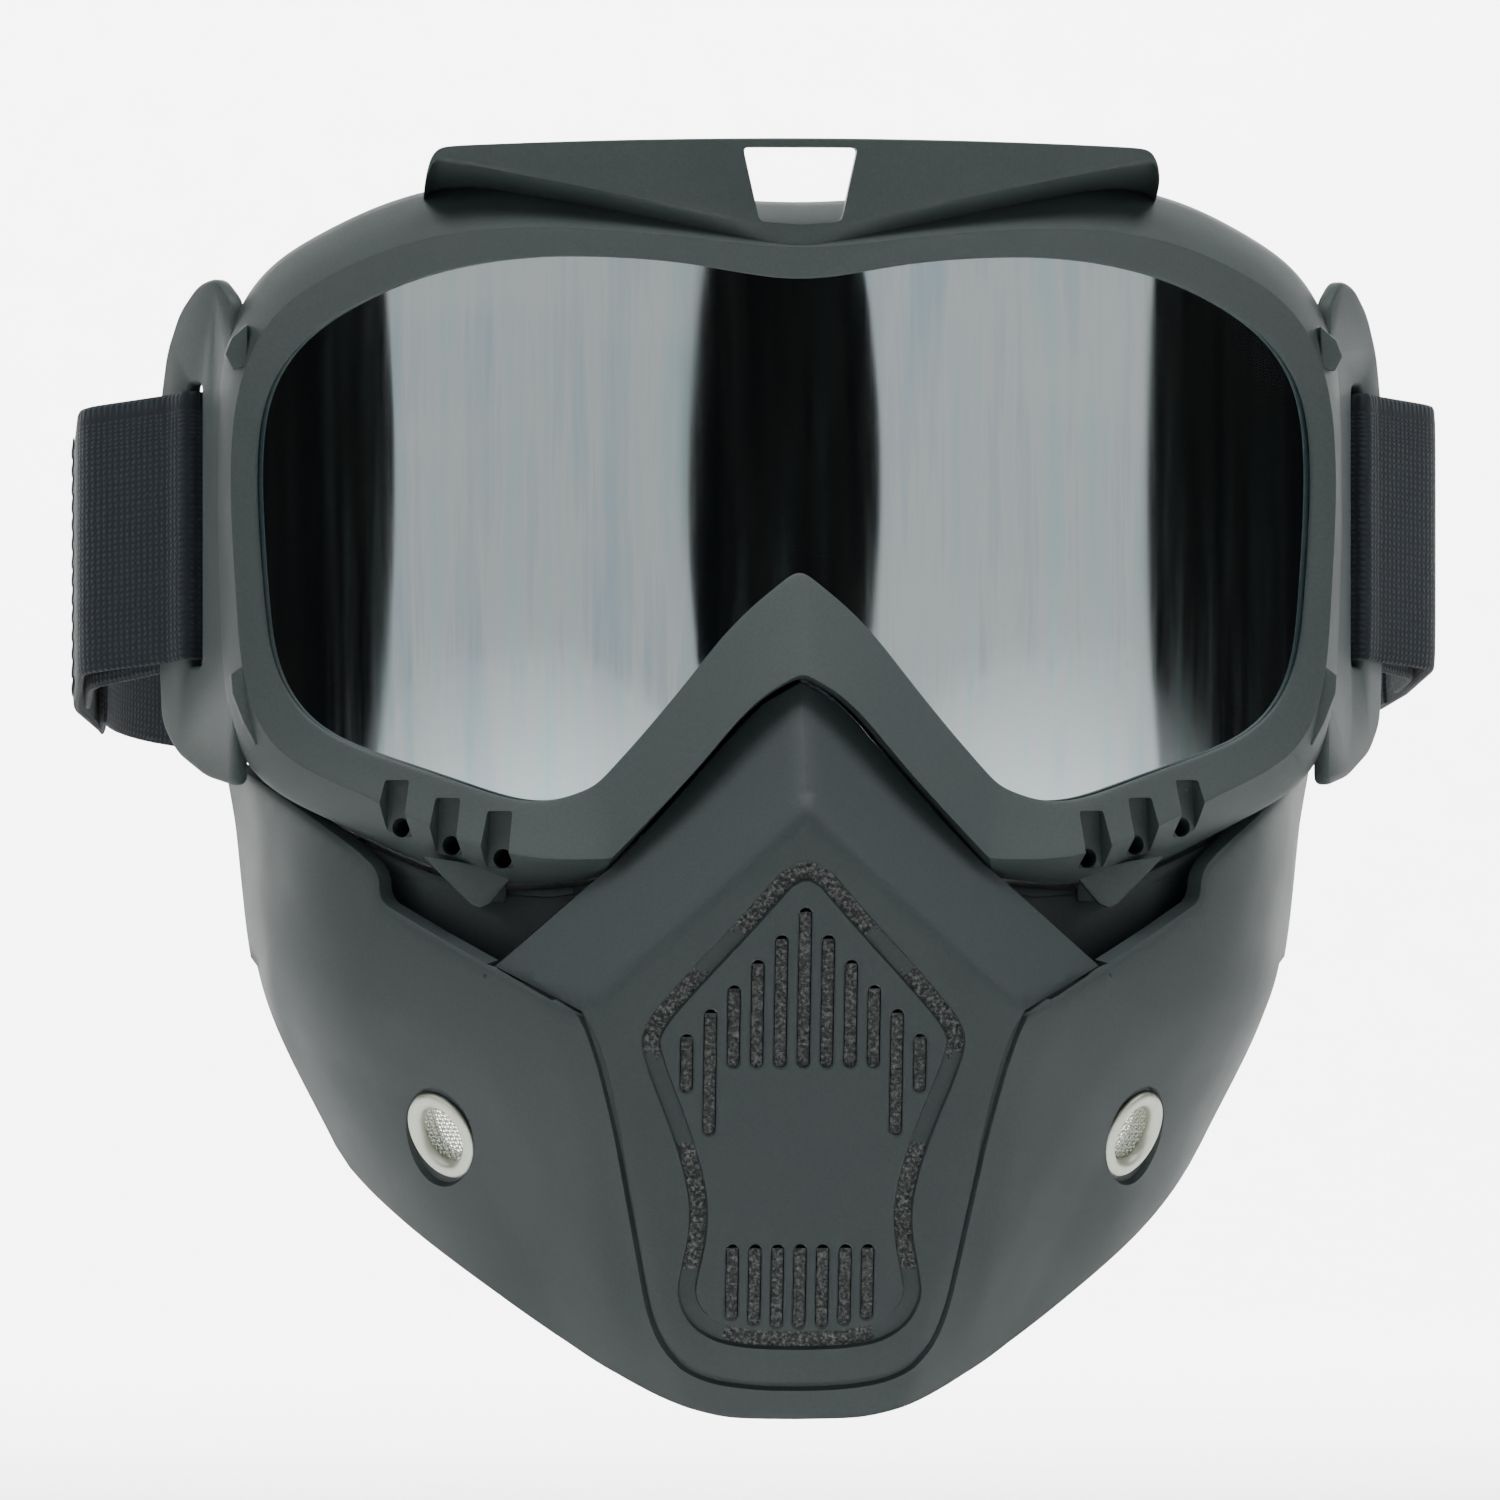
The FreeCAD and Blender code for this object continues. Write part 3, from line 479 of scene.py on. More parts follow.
@dataclass(frozen=True)
class Granular:
    """ABS moulded with a coarse crystalline texture; the glints of its facets are painted into its colour as
    pale specks.
    """

    name: str = "crystal_textured_abs"
    dark: str = "#161a1b"
    # pale: the colour of the painted glints, specks that stand in for facets catching the light
    pale: str = "#6a706e"
    crystal_mm: float = 0.7
    warp: float = 0.0006

    def material(self) -> bpy.types.Material:
        """The node material."""
        made = Surface(self.name)
        drift = made.add("TexNoise", {"Vector": made.place, "Scale": 1 / (1.1 * MM), "Detail": 2.0})
        bent = made.add("Mix", {"Factor": self.warp, "A": made.place, "B": drift.outputs["Color"]},
                        data_type="VECTOR")
        cell = made.cells(self.crystal_mm, bent.outputs["Result"])
        speck = made.noise(0.55, 3.0, Roughness=0.7)
        made.relief(made.sum("ADD", cell, speck), 1.0, 0.35)
        # painted highlight: the speck noise that also roughens the bump lifts the colour to pale glints
        tone = made.mix(made.ranged(speck, 0.46, 0.66), self.dark, self.pale)
        return made.done(Base_Color=tone, Roughness=0.45, IOR=ABS_IOR)


@dataclass(frozen=True)
class MirrorLens:
    """Smoke polycarbonate behind a vacuum-coated mirror film, with the film's faint upright streaks."""

    name: str = "mirror_coated_polycarbonate"
    tints: tuple[str, str, str] = ("#cee6f0", "#eaf4f6", "#d6f2f4")
    patch: str = "#f3fafa"
    streak_mm: float = 5.0
    roughness: float = 0.07

    def material(self) -> bpy.types.Material:
        """The node material."""
        made = Surface(self.name)
        stretched = made.add("Mapping", {"Vector": made.place, "Scale": (1.0, 1.0, 0.05)})
        leaning = made.add("Mapping", {"Vector": made.place, "Rotation": (0.0, 0.35, 0.0),
                                       "Scale": (0.5, 1.0, 1.6)})
        streak = made.noise(self.streak_mm, 4.0, stretched.outputs["Vector"], Roughness=0.6)
        broad = made.noise(26, 1.0, leaning.outputs["Vector"])
        ramp = made.add("ValToRGB", {"Fac": streak})
        marks = ramp.color_ramp.elements
        marks[0].position, marks[0].color = 0.34, linear(self.tints[0])
        marks[1].position, marks[1].color = 0.66, linear(self.tints[2])
        marks.new(0.5).color = linear(self.tints[1])
        tint = made.mix(made.ranged(broad, 0.52, 0.72, 0.0, 0.5), ramp.outputs["Color"], self.patch)
        gloss = made.ranged(streak, 0.35, 0.65, self.roughness - 0.03, self.roughness + 0.04)
        made.relief(streak, 0.06, 0.02)
        return made.done(Base_Color=tint, Roughness=gloss, Metallic=1.0)


@dataclass(frozen=True)
class Knitted:
    """Knitted elastic webbing: fine ribs along the strap crossed by the weft, with a soft fuzz."""

    name: str = "knitted_elastic_navy"
    thread: str = "#14232e"
    gap: str = "#080f15"
    rib_mm: float = 0.9

    def material(self) -> bpy.types.Material:
        """The node material, on the strap's own map, whose unit is a metre."""
        made = Surface(self.name, STRAP_MAP)
        rate = 2 * math.pi / (self.rib_mm * MM) / 20
        ribs, weft = (made.add("TexWave", {"Vector": made.place, "Scale": rate * share, "Distortion": drift,
                                           "Detail": 1.0}, bands_direction=way).outputs["Fac"]
                      for share, drift, way in ((1.0, 0.6, "Y"), (0.8, 1.2, "X")))
        mixed = made.sum("ADD", made.sum("MULTIPLY", ribs, weft), made.noise(0.5, 3.0))
        tone = made.mix(made.ranged(mixed, 0.35, 1.3), self.gap, self.thread)
        fade = made.ranged(made.noise(22, 2.0), 0.0, 1.0, 0.85, 1.15)
        made.relief(mixed, 0.8, 0.2)
        return made.done(Base_Color=made.mix(1.0, tone, fade, "MULTIPLY"), Roughness=0.85, IOR=1.5,
                         Sheen_Weight=0.08, Sheen_Roughness=0.5)


@dataclass(frozen=True)
class Foam:
    """Open-cell foam: round pores over a dull, slightly mottled surface."""

    name: str = "open_cell_foam"
    skin: str = "#34383a"
    pore: str = "#0f1213"
    pore_mm: float = 0.9

    def material(self) -> bpy.types.Material:
        """The node material."""
        made = Surface(self.name)
        total = made.sum("ADD", made.cells(self.pore_mm), made.noise(0.6, 3.0, Roughness=0.7))
        made.relief(total, 0.9, 0.3)
        tone = made.mix(made.ranged(total, 0.5, 1.25), self.pore, self.skin)
        return made.done(Base_Color=tone, Roughness=0.95, Sheen_Weight=0.3)


@dataclass(frozen=True)
class Nickel:
    """Pale nickel plate over pressed brass, with a fine grain and a few dull patches."""

    name: str = "nickel_plate"
    colour: str = "#eceee2"
    roughness: float = 0.4
    dull: str = "#d3d7c8"

    def material(self) -> bpy.types.Material:
        """The node material."""
        made = Surface(self.name)
        patch = made.noise(2.5, 3.0)
        made.relief(made.noise(0.3, 2.0), 0.3, 0.01)
        gloss = made.ranged(patch, 0.3, 0.7, self.roughness, self.roughness + 0.16)
        return made.done(Base_Color=made.mix(patch, self.dull, self.colour), Roughness=gloss, Metallic=1.0)


# ---------------------------------------------------------------- the goggles' curves


@dataclass(frozen=True)
class Bend:
    """How the goggles wrap round the face, in millimetres."""

    lens_radius: float = 120.0
    lens_front: float = 40.0
    lens_thick: float = 1.6
    face_radius: float = 112.0
    foam_thick: float = 13.0

    def lens(self, x: np.ndarray) -> np.ndarray:
        """Depth of the lens's front."""
        return self.lens_radius - self.lens_front - np.sqrt(self.lens_radius ** 2 - x ** 2)

    def lens_back(self, x: np.ndarray) -> np.ndarray:
        """Depth of the lens's back."""
        inner = self.lens_radius - self.lens_thick
        return self.lens_radius - self.lens_front - np.sqrt(inner ** 2 - x ** 2)

    def face(self, x: np.ndarray) -> np.ndarray:
        """Depth of the wearer's face."""
        return self.face_radius - np.sqrt(self.face_radius ** 2 - x ** 2)

    def rear(self, x: np.ndarray) -> np.ndarray:
        """Depth of the frame's rear edge."""
        return self.face(x) - self.foam_thick


@dataclass(frozen=True)
class Stations:
    """Matching points of the frame's outlines, right half, from the top centre down to the nose."""

    opening: tuple[Point, ...] = (
        (0, 28.7), (14.8, 30.8), (29.6, 32.1), (42.9, 31.7), (54, 29.5), (63.6, 25.6), (71, 20.7),
        (75.8, 14.4), (77.9, 6), (78, -5), (77, -19), (75, -29), (70, -36), (60, -40.9),
        (48.1, -45.1), (37.7, -47.6), (29.5, -45.2), (22.5, -37.4), (14.5, -27.6), (7, -19.2), (0, -13.5))
    crest: tuple[Point, ...] = (
        (0, 33.2), (15, 34.6), (30, 36.0), (45, 36.2), (56, 34.4), (66.5, 30.4), (75, 24.8),
        (79.8, 17), (81.8, 7), (82, -5), (81.2, -19), (79.8, -31), (75.5, -39.8), (64.5, -46),
        (50, -52.8), (38, -55.8), (27.6, -55.8), (20.6, -48.5), (13, -40), (5.5, -32), (0, -28.8))
    body: tuple[Point, ...] = (
        (0, 40.5), (16, 41.5), (32, 43), (46, 43.6), (58, 41.2), (69, 36.3), (77.5, 30.2),
        (82.3, 21), (83.6, 9), (83.7, -5), (83.4, -19), (82.4, -33), (78.8, -43.2), (67.6, -50.4),
        (53, -57.2), (40, -59.8), (28.6, -58.6), (20.6, -49.1), (13, -40.6), (5.5, -32.6), (0, -29.4))
    proud: tuple[float, ...] = (3.5,) * 13 + (4.0, 4.5, 5.0, 6.0, 6.6, 7.0, 7.4, 8.0)
    setback: tuple[float, ...] = (14, 14, 13.5, 13, 12, 11, 10, 8.5, 7, 6.5, 7, 8, 9, 9, 9, 8, 6, 5, 5, 5, 5)
    corner: int = 16
    bend: Bend = Bend()

    def dense(self, steps: int = 3) -> dict[str, np.ndarray]:
        """The outlines and depths with more stations, each on its own curve.

        Args:
            steps: stations for each original one.

        Returns:
            Arrays by name: opening, crest, body, proud, setback and the flag corner.
        """
        table = np.column_stack([self.opening, self.crest, self.body, self.proud, self.setback])
        reach = np.concatenate([[0], np.cumsum(np.linalg.norm(np.diff(table[:, 2:4], axis=0), axis=1))])
        flip = np.array([-1, 1, -1, 1, -1, 1, 1, 1])
        top = slice(0, self.corner + 1)
        knots = np.concatenate([-reach[3:0:-1], reach[top]])
        values = np.concatenate([table[3:0:-1] * flip, table[top]])
        at = [a + (b - a) * k / steps for a, b in zip(reach[:self.corner], reach[1:]) for k in range(steps)]
        upper = spline(knots, values, at)
        at = [a + (b - a) * k / steps for a, b in zip(reach[self.corner:], reach[self.corner + 1:])
              for k in range(steps)] + [reach[-1]]
        lower = spline(reach[self.corner:], table[self.corner:], at)
        dense = np.concatenate([upper, lower])
        return {"opening": dense[:, 0:2], "crest": dense[:, 2:4], "body": dense[:, 4:6],
                "proud": dense[:, 6], "setback": dense[:, 7], "corner": np.array([len(upper)])}


def with_left(right: np.ndarray) -> np.ndarray:
    """A row of points on the right, closed by its mirror image on the left."""
    left = right[::-1] * np.array([-1, 1, 1])
    keep = left[:, 0] < -1e-6
    return np.concatenate([right, left[keep]])


# ---------------------------------------------------------------- goggle frame


@dataclass
class GoggleFrame:
    """The frame that holds the lens: rail, brow plate, strap ears and vents, moulded in one piece."""

    finish: bpy.types.Material
    stations: Stations = Stations()
    wall: float = 2.2
    lens_lap: float = 2.8
    lip_proud: float = 0.9
    vents: tuple[Point, ...] = ((57.3, -44.4), (50.1, -47.0), (42.8, -48.9))
    vent_width: float = 3.7
    vent_hole: float = 2.9
    ear_root: Point = (81.8, -3.0)
    ear_angle: float = 63.0
    ear_thick: float = 2.4
    brow_front: float = 123.1
    brow_thick: float = 3.0

    def rail(self) -> bpy.types.Object:
        """The ring round the lens, from its lip over the crest to the edge that carries the foam."""
        bend, dense = self.stations.bend, self.stations.dense()
        opening, crest, body = dense["opening"], dense["crest"], dense["body"]
        span = np.linalg.norm(body - opening, axis=1)[:, None]
        out = (body - opening) / span

        def row(outline: np.ndarray, depth: np.ndarray) -> np.ndarray:
            """One row of the ring, closed on the left."""
            return with_left(np.column_stack([outline[:, 0], depth, outline[:, 1]]))

        crest_y = bend.lens(crest[:, 0]) - dense["proud"]
        body_y = crest_y + dense["setback"]
        lip_y = bend.lens(opening[:, 0])
        rear, rear_in = body - out * 1.6, body - out * (1.6 + self.wall)
        shoulder, seat = body - out * 2.7, opening + out * (self.lens_lap + 0.4)
        front_y = lip_y - self.lip_proud
        rows = [
            (row(opening, lip_y - 0.1), 0.8),
            (row(opening, front_y + 0.25), 0.3),
            (row(opening + out * 0.35, front_y - 0.05), 0.2),
            (row(opening + (crest - opening) * 0.5, front_y * 0.5 + crest_y * 0.5 + 0.12), 0.0),
            (row(opening + (crest - opening) * 0.88, front_y * 0.12 + crest_y * 0.88), 0.0),
            (row(crest, crest_y), 0.6),
            (row(crest + (body - crest) * 0.12, crest_y + (body_y - crest_y) * 0.1), 0.0),
            (row(crest + (body - crest) * 0.55, crest_y + (body_y - crest_y) * 0.47), 0.0),
            (row(body, body_y), 0.5),
            (row(body - out * 0.5, body_y * 0.5 + bend.rear(body[:, 0]) * 0.5), 0.0),
            (row(rear, bend.rear(rear[:, 0])), 0.7),
            (row(rear_in, bend.rear(rear_in[:, 0])), 0.7),
            (row(shoulder, body_y + 2.0), 0.0),
            (row(seat, bend.lens_back(seat[:, 0]) + 1.0), 0.3),
            (row(seat, bend.lens(seat[:, 0]) - 0.1), 0.5),
        ]
        ring = loft("rail", [r for r, _ in rows], [c for _, c in rows])
        self.sharpen_corners(ring, len(rows[0][0]), int(dense["corner"][0]))
        return subdivided(ring, 2)

    @staticmethod
    def sharpen_corners(ring: bpy.types.Object, width: int, corner: int) -> None:
        """Keeps the two corners at the foot of the nose cut-out crisp.

        Args:
            ring: the rail's cage.
            width: how many points a row has.
            corner: the station of the right corner.
        """
        mesh = bmesh.new()
        mesh.from_mesh(ring.data)
        layer = mesh.edges.layers.float["crease_edge"]
        for edge in mesh.edges:
            a, b = edge.verts[0].index, edge.verts[1].index
            if a % width == b % width and a % width in (corner, width - corner) and 4 <= a // width <= 9:
                edge[layer] = 0.55
        mesh.to_mesh(ring.data)
        mesh.free()

    def brow(self) -> bpy.types.Object:
        """The upright plate over the lens, with its bevelled foot, before its opening is cut."""
        bend, dense = self.stations.bend, self.stations.dense()
        crest, body = dense["crest"], dense["body"]
        crest_y = bend.lens(crest[:, 0]) - dense["proud"]
        body_y = crest_y + dense["setback"]
        top_half = slice(0, 3 * 6)
        half = [0.0, 2.5, 8, 16, 24, 32, 40, 47, 51, 53.0, 54.2]
        places = [-x for x in reversed(half[1:])] + half
        sections = []
        for x in places:
            reach = abs(x)
            crest_z, foot_y, body_z, rise_y = (
                np.interp(reach, line[top_half, 0], values[top_half])
                for line, values in ((crest, crest[:, 1]), (crest, crest_y),
                                     (body, body[:, 1]), (body, body_y)))
            front = bend.lens_radius - bend.lens_front - math.sqrt(self.brow_front ** 2 - x ** 2)
            top = 49.2 - 0.0003 * x * x
            if reach > 51:
                top -= [0.4, 4.2][int(reach > 53.5)]
            crease = max(35.9, 35.4 + (46.6 - 35.4) * math.hypot(reach, 1.5) / 52.6)
            crease = min(crease, top - 0.8)
            end = min(crease - 2.5, body_z - 0.2)

            def slope(z: float) -> float:
                """Depth of the frame's upper slope at a height."""
                return foot_y + (rise_y - foot_y) * (z - crest_z) / (body_z - crest_z)

            end_y = slope(end)
            back = max(front + self.brow_thick, end_y + 1.5)
            back_z = crest_z + (body_z - crest_z) * (back - foot_y) / (rise_y - foot_y)
            sections.append([(x, front, top), (x, front, crease), (x, end_y, end),
                             (x, end_y + 1.0, end - 1.2), (x, back, min(back_z, body_z) - 1.2),
                             (x, front + self.brow_thick, top)])
        rows = [np.array([section[k] for section in sections]) for k in range(6)]
        plate = loft("brow", rows, [0.75, 0.7, 0.6, 0.3, 0.3, 0.75], closed_rows=False, caps=True)
        plate = subdivided(plate, 3)
        hole = self.tight_corners([(-8.4, 47.9), (8.4, 47.9), (6.0, 37.0), (0, 36.55), (-6.0, 37.0)], 1.0)
        return combined(plate, prism("brow_hole", hole, -60, -20), "DIFFERENCE")

    @staticmethod
    def tight_corners(corners: Sequence[Point], radius: float, steps: int = 5) -> list[Point]:
        """A closed polygon with each corner turned into a short arc.

        Args:
            corners: the polygon.
            radius: how far from each corner its arc starts.
            steps: points on each arc.

        Returns:
            The rounded polygon.
        """
        result = []
        for before, corner, after in zip([corners[-1], *corners[:-1]], corners, [*corners[1:], corners[0]]):
            c = np.asarray(corner, float)
            a, b = (np.asarray(p, float) - c for p in (before, after))
            a, b = a / np.linalg.norm(a) * radius, b / np.linalg.norm(b) * radius
            for k in range(steps + 1):
                t = k / steps
                result.append(tuple(c + a * (1 - t) ** 2 + b * t ** 2))
        return result

    def ear(self) -> bpy.types.Object:
        """The right strap ear: a slanted plate with an upright slot for the strap."""
        outline = [(-2.5, 26.5), (3, 30.2), (8.5, 29.2), (14, 25.4), (18, 19.5), (20, 12), (20.3, 0),
                   (20.3, -28), (19.5, -36), (15, -40.5), (6, -44), (-3.5, -45.5)]
        plate = prism("ear", self.tight_corners(outline, 2.2), -self.ear_thick / 2, self.ear_thick / 2)
        slot = self.tight_corners([(7, 14.4), (11, 14.4), (11, -27.6), (7, -27.6)], 1.2)
        combined(plate, prism("ear_slot", slot, -9, 9), "DIFFERENCE")
        bevelled(plate, 0.75, 3, 40)
        turn = Matrix.Rotation(math.radians(self.ear_angle), 4, "Z")
        plate.data.transform(Matrix.Translation(Vector((*self.ear_root, 0)) * MM) @ turn)
        return plate

    def vent_cutters(self) -> list[bpy.types.Object]:
        """Tapered slots in the bottom rail, with a round hole at the foot of each."""
        cutters = []
        bend, half = self.stations.bend, self.vent_width / 2
        floor = -bend.lens_front - 0.5
        axis = Matrix.Translation((0, (bend.lens_radius - bend.lens_front) * MM, 0))
        for sign in (1, -1):
            for x, top in self.vents:
                low = top - 8.4
                outline = [(-half, top), (half, top), (half + 0.5, low), (-half - 0.5, low)]
                slot = prism("vent", self.tight_corners(outline, 0.4, 2), floor - 20, floor)
                turns = np.linspace(0, 2 * math.pi, 24, endpoint=False)
                ring = [(self.vent_hole / 2 * math.cos(a), top - 7.0 + self.vent_hole / 2 * math.sin(a))
                        for a in turns]
                hole = prism("vent_hole", ring, floor - 3, floor + 12)
                turn = Matrix.Rotation(sign * math.asin(x / bend.lens_radius), 4, "Z")
                for cutter in (slot, hole):
                    cutter.data.transform(axis @ turn @ axis.inverted())
                    cutters.append(cutter)
        return cutters

    def lug(self) -> bpy.types.Object:
        """A small wedge under the right vent rail."""
        wedge = prism("lug", [(40.6, -57.6), (54.4, -55.6), (47.6, -62.6), (46.2, -63.3), (44.8, -62.6)],
                      -31.2, -28.4)
        return bevelled(wedge, 0.4, 2)

    def rim_steps(self) -> list[bpy.types.Object]:
        """The two small steps on the outer edge of each side of the rim."""
        steps = []
        upper = [(79.6, 22.9), (82.0, 20.8), (82.9, 18.4), (81.8, 16.2), (79.6, 16.6)]
        lower = [(79.2, -26.8), (82.1, -28.9), (81.9, -31.6), (80.2, -36), (78.4, -39.4), (77.0, -36)]
        for name, outline in (("upper_step", upper), ("lower_step", lower)):
            steps.append(bevelled(prism(name, outline, -12.6, -5.5), 0.3, 2))
        return steps + [mirrored(step, step.name + "_twin") for step in steps]

    def build(self) -> bpy.types.Object:
        """The whole frame, in place and dressed."""
        frame = self.rail()
        for cutter in self.vent_cutters():
            combined(frame, cutter, "DIFFERENCE")
        ear, lug = self.ear(), self.lug()
        parts = [self.brow(), ear, mirrored(ear, "ear_twin"), lug, mirrored(lug, "lug_twin")]
        parts += self.rim_steps()
        for part in parts:
            fused(frame, part)
        frame.name = frame.data.name = "goggle_frame_looks"
        frame.data.materials.clear()
        frame.data.materials.append(self.finish)
        shaded(frame, 38)
        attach(frame, "goggles")
        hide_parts("goggle_frame")
        LOG.info("goggle frame: %d faces", len(frame.data.polygons))
        return frame


# ---------------------------------------------------------------- skins with moulded-in lines


@dataclass
class SkinMap:
    """A flat map of half a skin: its outline, its holes and the lines that its mesh has to follow."""

    outline: np.ndarray
    holes: list[np.ndarray] = field(default_factory=list)
    lines: list[np.ndarray] = field(default_factory=list)
    pitch: float = 1.7
    clear: float = 0.62

    def triangles(self) -> tuple[np.ndarray, np.ndarray]:
        """Fills the map with triangles.

        Returns:
            The points of the map, and the three corners of each triangle.
        """
        closed = [np.vstack([loop, loop[:1]]) for loop in [self.outline, *self.holes]]
        strands = [part for line in closed + self.lines for part in self.right_part(line)]
        low, high = self.outline.min(0), self.outline.max(0)
        grid = np.stack(np.meshgrid(np.arange(low[0], high[0], self.pitch),
                                    np.arange(low[1], high[1], self.pitch)), -1).reshape(-1, 2)
        grid[:, 0] += np.where(np.round((grid[:, 1] - low[1]) / self.pitch) % 2 > 0, self.pitch / 2, 0)
        grid = grid[inside(self.outline, grid)]
        for strand in strands:
            grid = grid[distance_to(strand, grid) > self.clear]
        points, edges = [], []
        for strand in strands:
            start = len(points)
            points += [tuple(p) for p in strand]
            edges += [(start + i, start + i + 1) for i in range(len(strand) - 1)]
        points += [tuple(p) for p in grid]
        found = delaunay_2d_cdt([Vector(p) for p in points], edges, [], 0, 1e-4)
        flat = np.array([tuple(v) for v in found[0]])
        corners = np.array([f for f in found[2] if len(f) == 3])
        middle = flat[corners].mean(1)
        keep = inside(self.outline, middle)
        for hole in self.holes:
            keep &= ~inside(hole, middle)
        return flat, corners[keep]

    @staticmethod
    def right_part(line: np.ndarray) -> list[np.ndarray]:
        """The stretches of a line at or right of the middle, cut at the middle."""
        parts, run = [], []
        for a, b in zip(line, line[1:]):
            a_in, b_in = a[0] >= -1e-9, b[0] >= -1e-9
            if a_in and not run:
                run = [a]
            if a_in and b_in:
                run.append(b)
            elif a_in != b_in:
                cut = a + (b - a) * (a[0] / (a[0] - b[0]))
                cut[0] = 0.0
                if a_in:
                    parts.append(np.array(run + [cut]))
                    run = []
                else:
                    run = [cut, b]
        if len(run) > 1:
            parts.append(np.array(run))
        return [part for part in parts if len(part) > 1]


def offset_line(line: np.ndarray, distance: float) -> np.ndarray:
    """A line moved sideways by a distance, to its left where that is above 0."""
    runs = np.diff(line, axis=0)
    runs /= np.linalg.norm(runs, axis=1)[:, None]
    sides = np.column_stack([-runs[:, 1], runs[:, 0]])
    if np.allclose(line[0], line[-1]):
        ends = (sides[0] + sides[-1]) / 2
        sides = np.vstack([ends, (sides[1:] + sides[:-1]) / 2, ends])
    else:
        sides = np.vstack([sides[:1], (sides[1:] + sides[:-1]) / 2, sides[-1:]])
    length = np.linalg.norm(sides, axis=1)[:, None]
    return line + sides / np.maximum(length, 0.6) ** 2 * distance


def slot_outline(x: float, top: float, bottom: float, width: float, steps: int = 6) -> np.ndarray:
    """The outline of an upright slot with round ends."""
    half = width / 2
    up = np.linspace(0, math.pi, steps + 1)
    ends = [(x + half * math.cos(a), top - half + half * math.sin(a)) for a in up]
    ends += [(x - half * math.cos(a), bottom + half - half * math.sin(a)) for a in up]
    return resampled(ends + ends[:1], 1.6)[:-1]


@dataclass(frozen=True)
class MaskForm:
    """The mask's outer surface: level curves with a flat mouth panel, flanks and two facets over the nose."""

    # height, half width of the panel, half width of the mask, depth of the panel
    levels: tuple[tuple[float, float, float, float], ...] = (
        (-142, 14.0, 41.0, -29.0), (-131, 17.2, 47.5, -36.6), (-123, 19.4, 52.5, -39.8),
        (-109, 23.3, 60.5, -43.2), (-97, 26.7, 66.5, -46.0), (-78, 32.0, 75.5, -50.0),
        (-64, 33.0, 78.5, -53.2), (-50, 33.0, 80.5, -56.2), (-38, 33.0, 82.5, -57.7),
        (-24, 33.0, 83.5, -58.0))
    rear: float = 22.0
    corner_radius: float = 1.6
    ridge: tuple[float, float] = (-42.0, -26.0)
    facet_normal: tuple[float, float, float] = (0.545, -0.715, 0.439)
    fold: float = 0.55              # how far the fold between panel and facet is rounded

    def level(self, z: np.ndarray) -> tuple[np.ndarray, np.ndarray, np.ndarray]:
        """Half width of the panel, half width of the mask and depth of the panel at a height."""
        table = np.array(self.levels)
        values = spline(table[:, 0], table[:, 1:], np.clip(z, -142, -24))
        return values[:, 0], values[:, 1], values[:, 2]

    @staticmethod
    def turn(share: np.ndarray) -> np.ndarray:
        """How far back a flank has come at a share of its width."""
        return 0.66 * share + 0.34 * share ** 8

    def reach(self) -> tuple[np.ndarray, np.ndarray]:
        """Shares of a flank's width, and its unrolled length at each, over its width."""
        share = np.linspace(0, 1, 101)
        rise = np.gradient(self.turn(share), share) * 72 / 45
        steps = np.sqrt(1 + rise ** 2)
        return share, np.concatenate([[0], np.cumsum((steps[1:] + steps[:-1]) / 2 * np.diff(share))])

    def unroll(self, places: np.ndarray) -> np.ndarray:
        """Front-view places as places on the unrolled skin."""
        places = np.asarray(places, float)
        x, z = np.abs(places[:, 0]), places[:, 1]
        panel, width, _ = self.level(z)
        share, length = self.reach()
        flank = panel + (width - panel) * np.interp((x - panel) / (width - panel), share, length)
        return np.column_stack([np.sign(places[:, 0]) * np.where(x > panel, flank, x), z])

    def spread(self, a: np.ndarray, z: np.ndarray) -> np.ndarray:
        """How far to the side a place on the unrolled skin lies."""
        panel, width, _ = self.level(z)
        share, length = self.reach()
        flank = panel + (width - panel) * np.interp((a - panel) / (width - panel), length, share)
        return np.where(a > panel, flank, a)

    def facet(self, x: np.ndarray, z: np.ndarray) -> np.ndarray:
        """Depth of the facet over the nose."""
        nx, ny, nz = self.facet_normal
        soft = np.sqrt(x ** 2 + 0.36) - 0.6
        return self.ridge[0] - (nx * soft + nz * (z - self.ridge[1])) / ny

    @staticmethod
    def above_notch(x: np.ndarray, z: np.ndarray) -> np.ndarray:
        """Whether a place lies on the facet's side of the gap between facet and wing."""
        return (x < 45) & (z > -78.4 + 0.545 * (x - 32.0))

    def surface(self, a: np.ndarray, z: np.ndarray) -> np.ndarray:
        """The outer surface at places on the unrolled skin, one point for each."""
        x = self.spread(a, z)
        panel, width, front = self.level(z)
        beyond = x - panel
        soft = (beyond + np.sqrt(beyond ** 2 + self.corner_radius ** 2)) / 2
        share = np.clip(soft / (width - panel), 0, 1)
        y = front + (self.rear - front) * self.turn(share)
        facet = self.facet(x, z)
        softness = np.log1p(np.exp(-np.abs(y - facet) / self.fold)) * 0.8
        folded = np.maximum(y, facet) + self.fold * softness
        fade = np.where(self.above_notch(x, z), 1.0, smooth_step((33.5 - x) / 4))
        return np.column_stack([x, y + (folded - y) * fade, z])

    def normal(self, a: np.ndarray, z: np.ndarray) -> np.ndarray:
        """The outward normal at places on the unrolled skin."""
        e = 0.4
        before = self.surface(np.abs(a - e), z)
        before[:, 0] *= np.where(a < e, -1, 1)
        across = self.surface(a + e, z) - before
        upward = self.surface(a, z + e) - self.surface(a, z - e)
        normal = np.cross(across, upward)
        return normal / np.linalg.norm(normal, axis=1)[:, None]


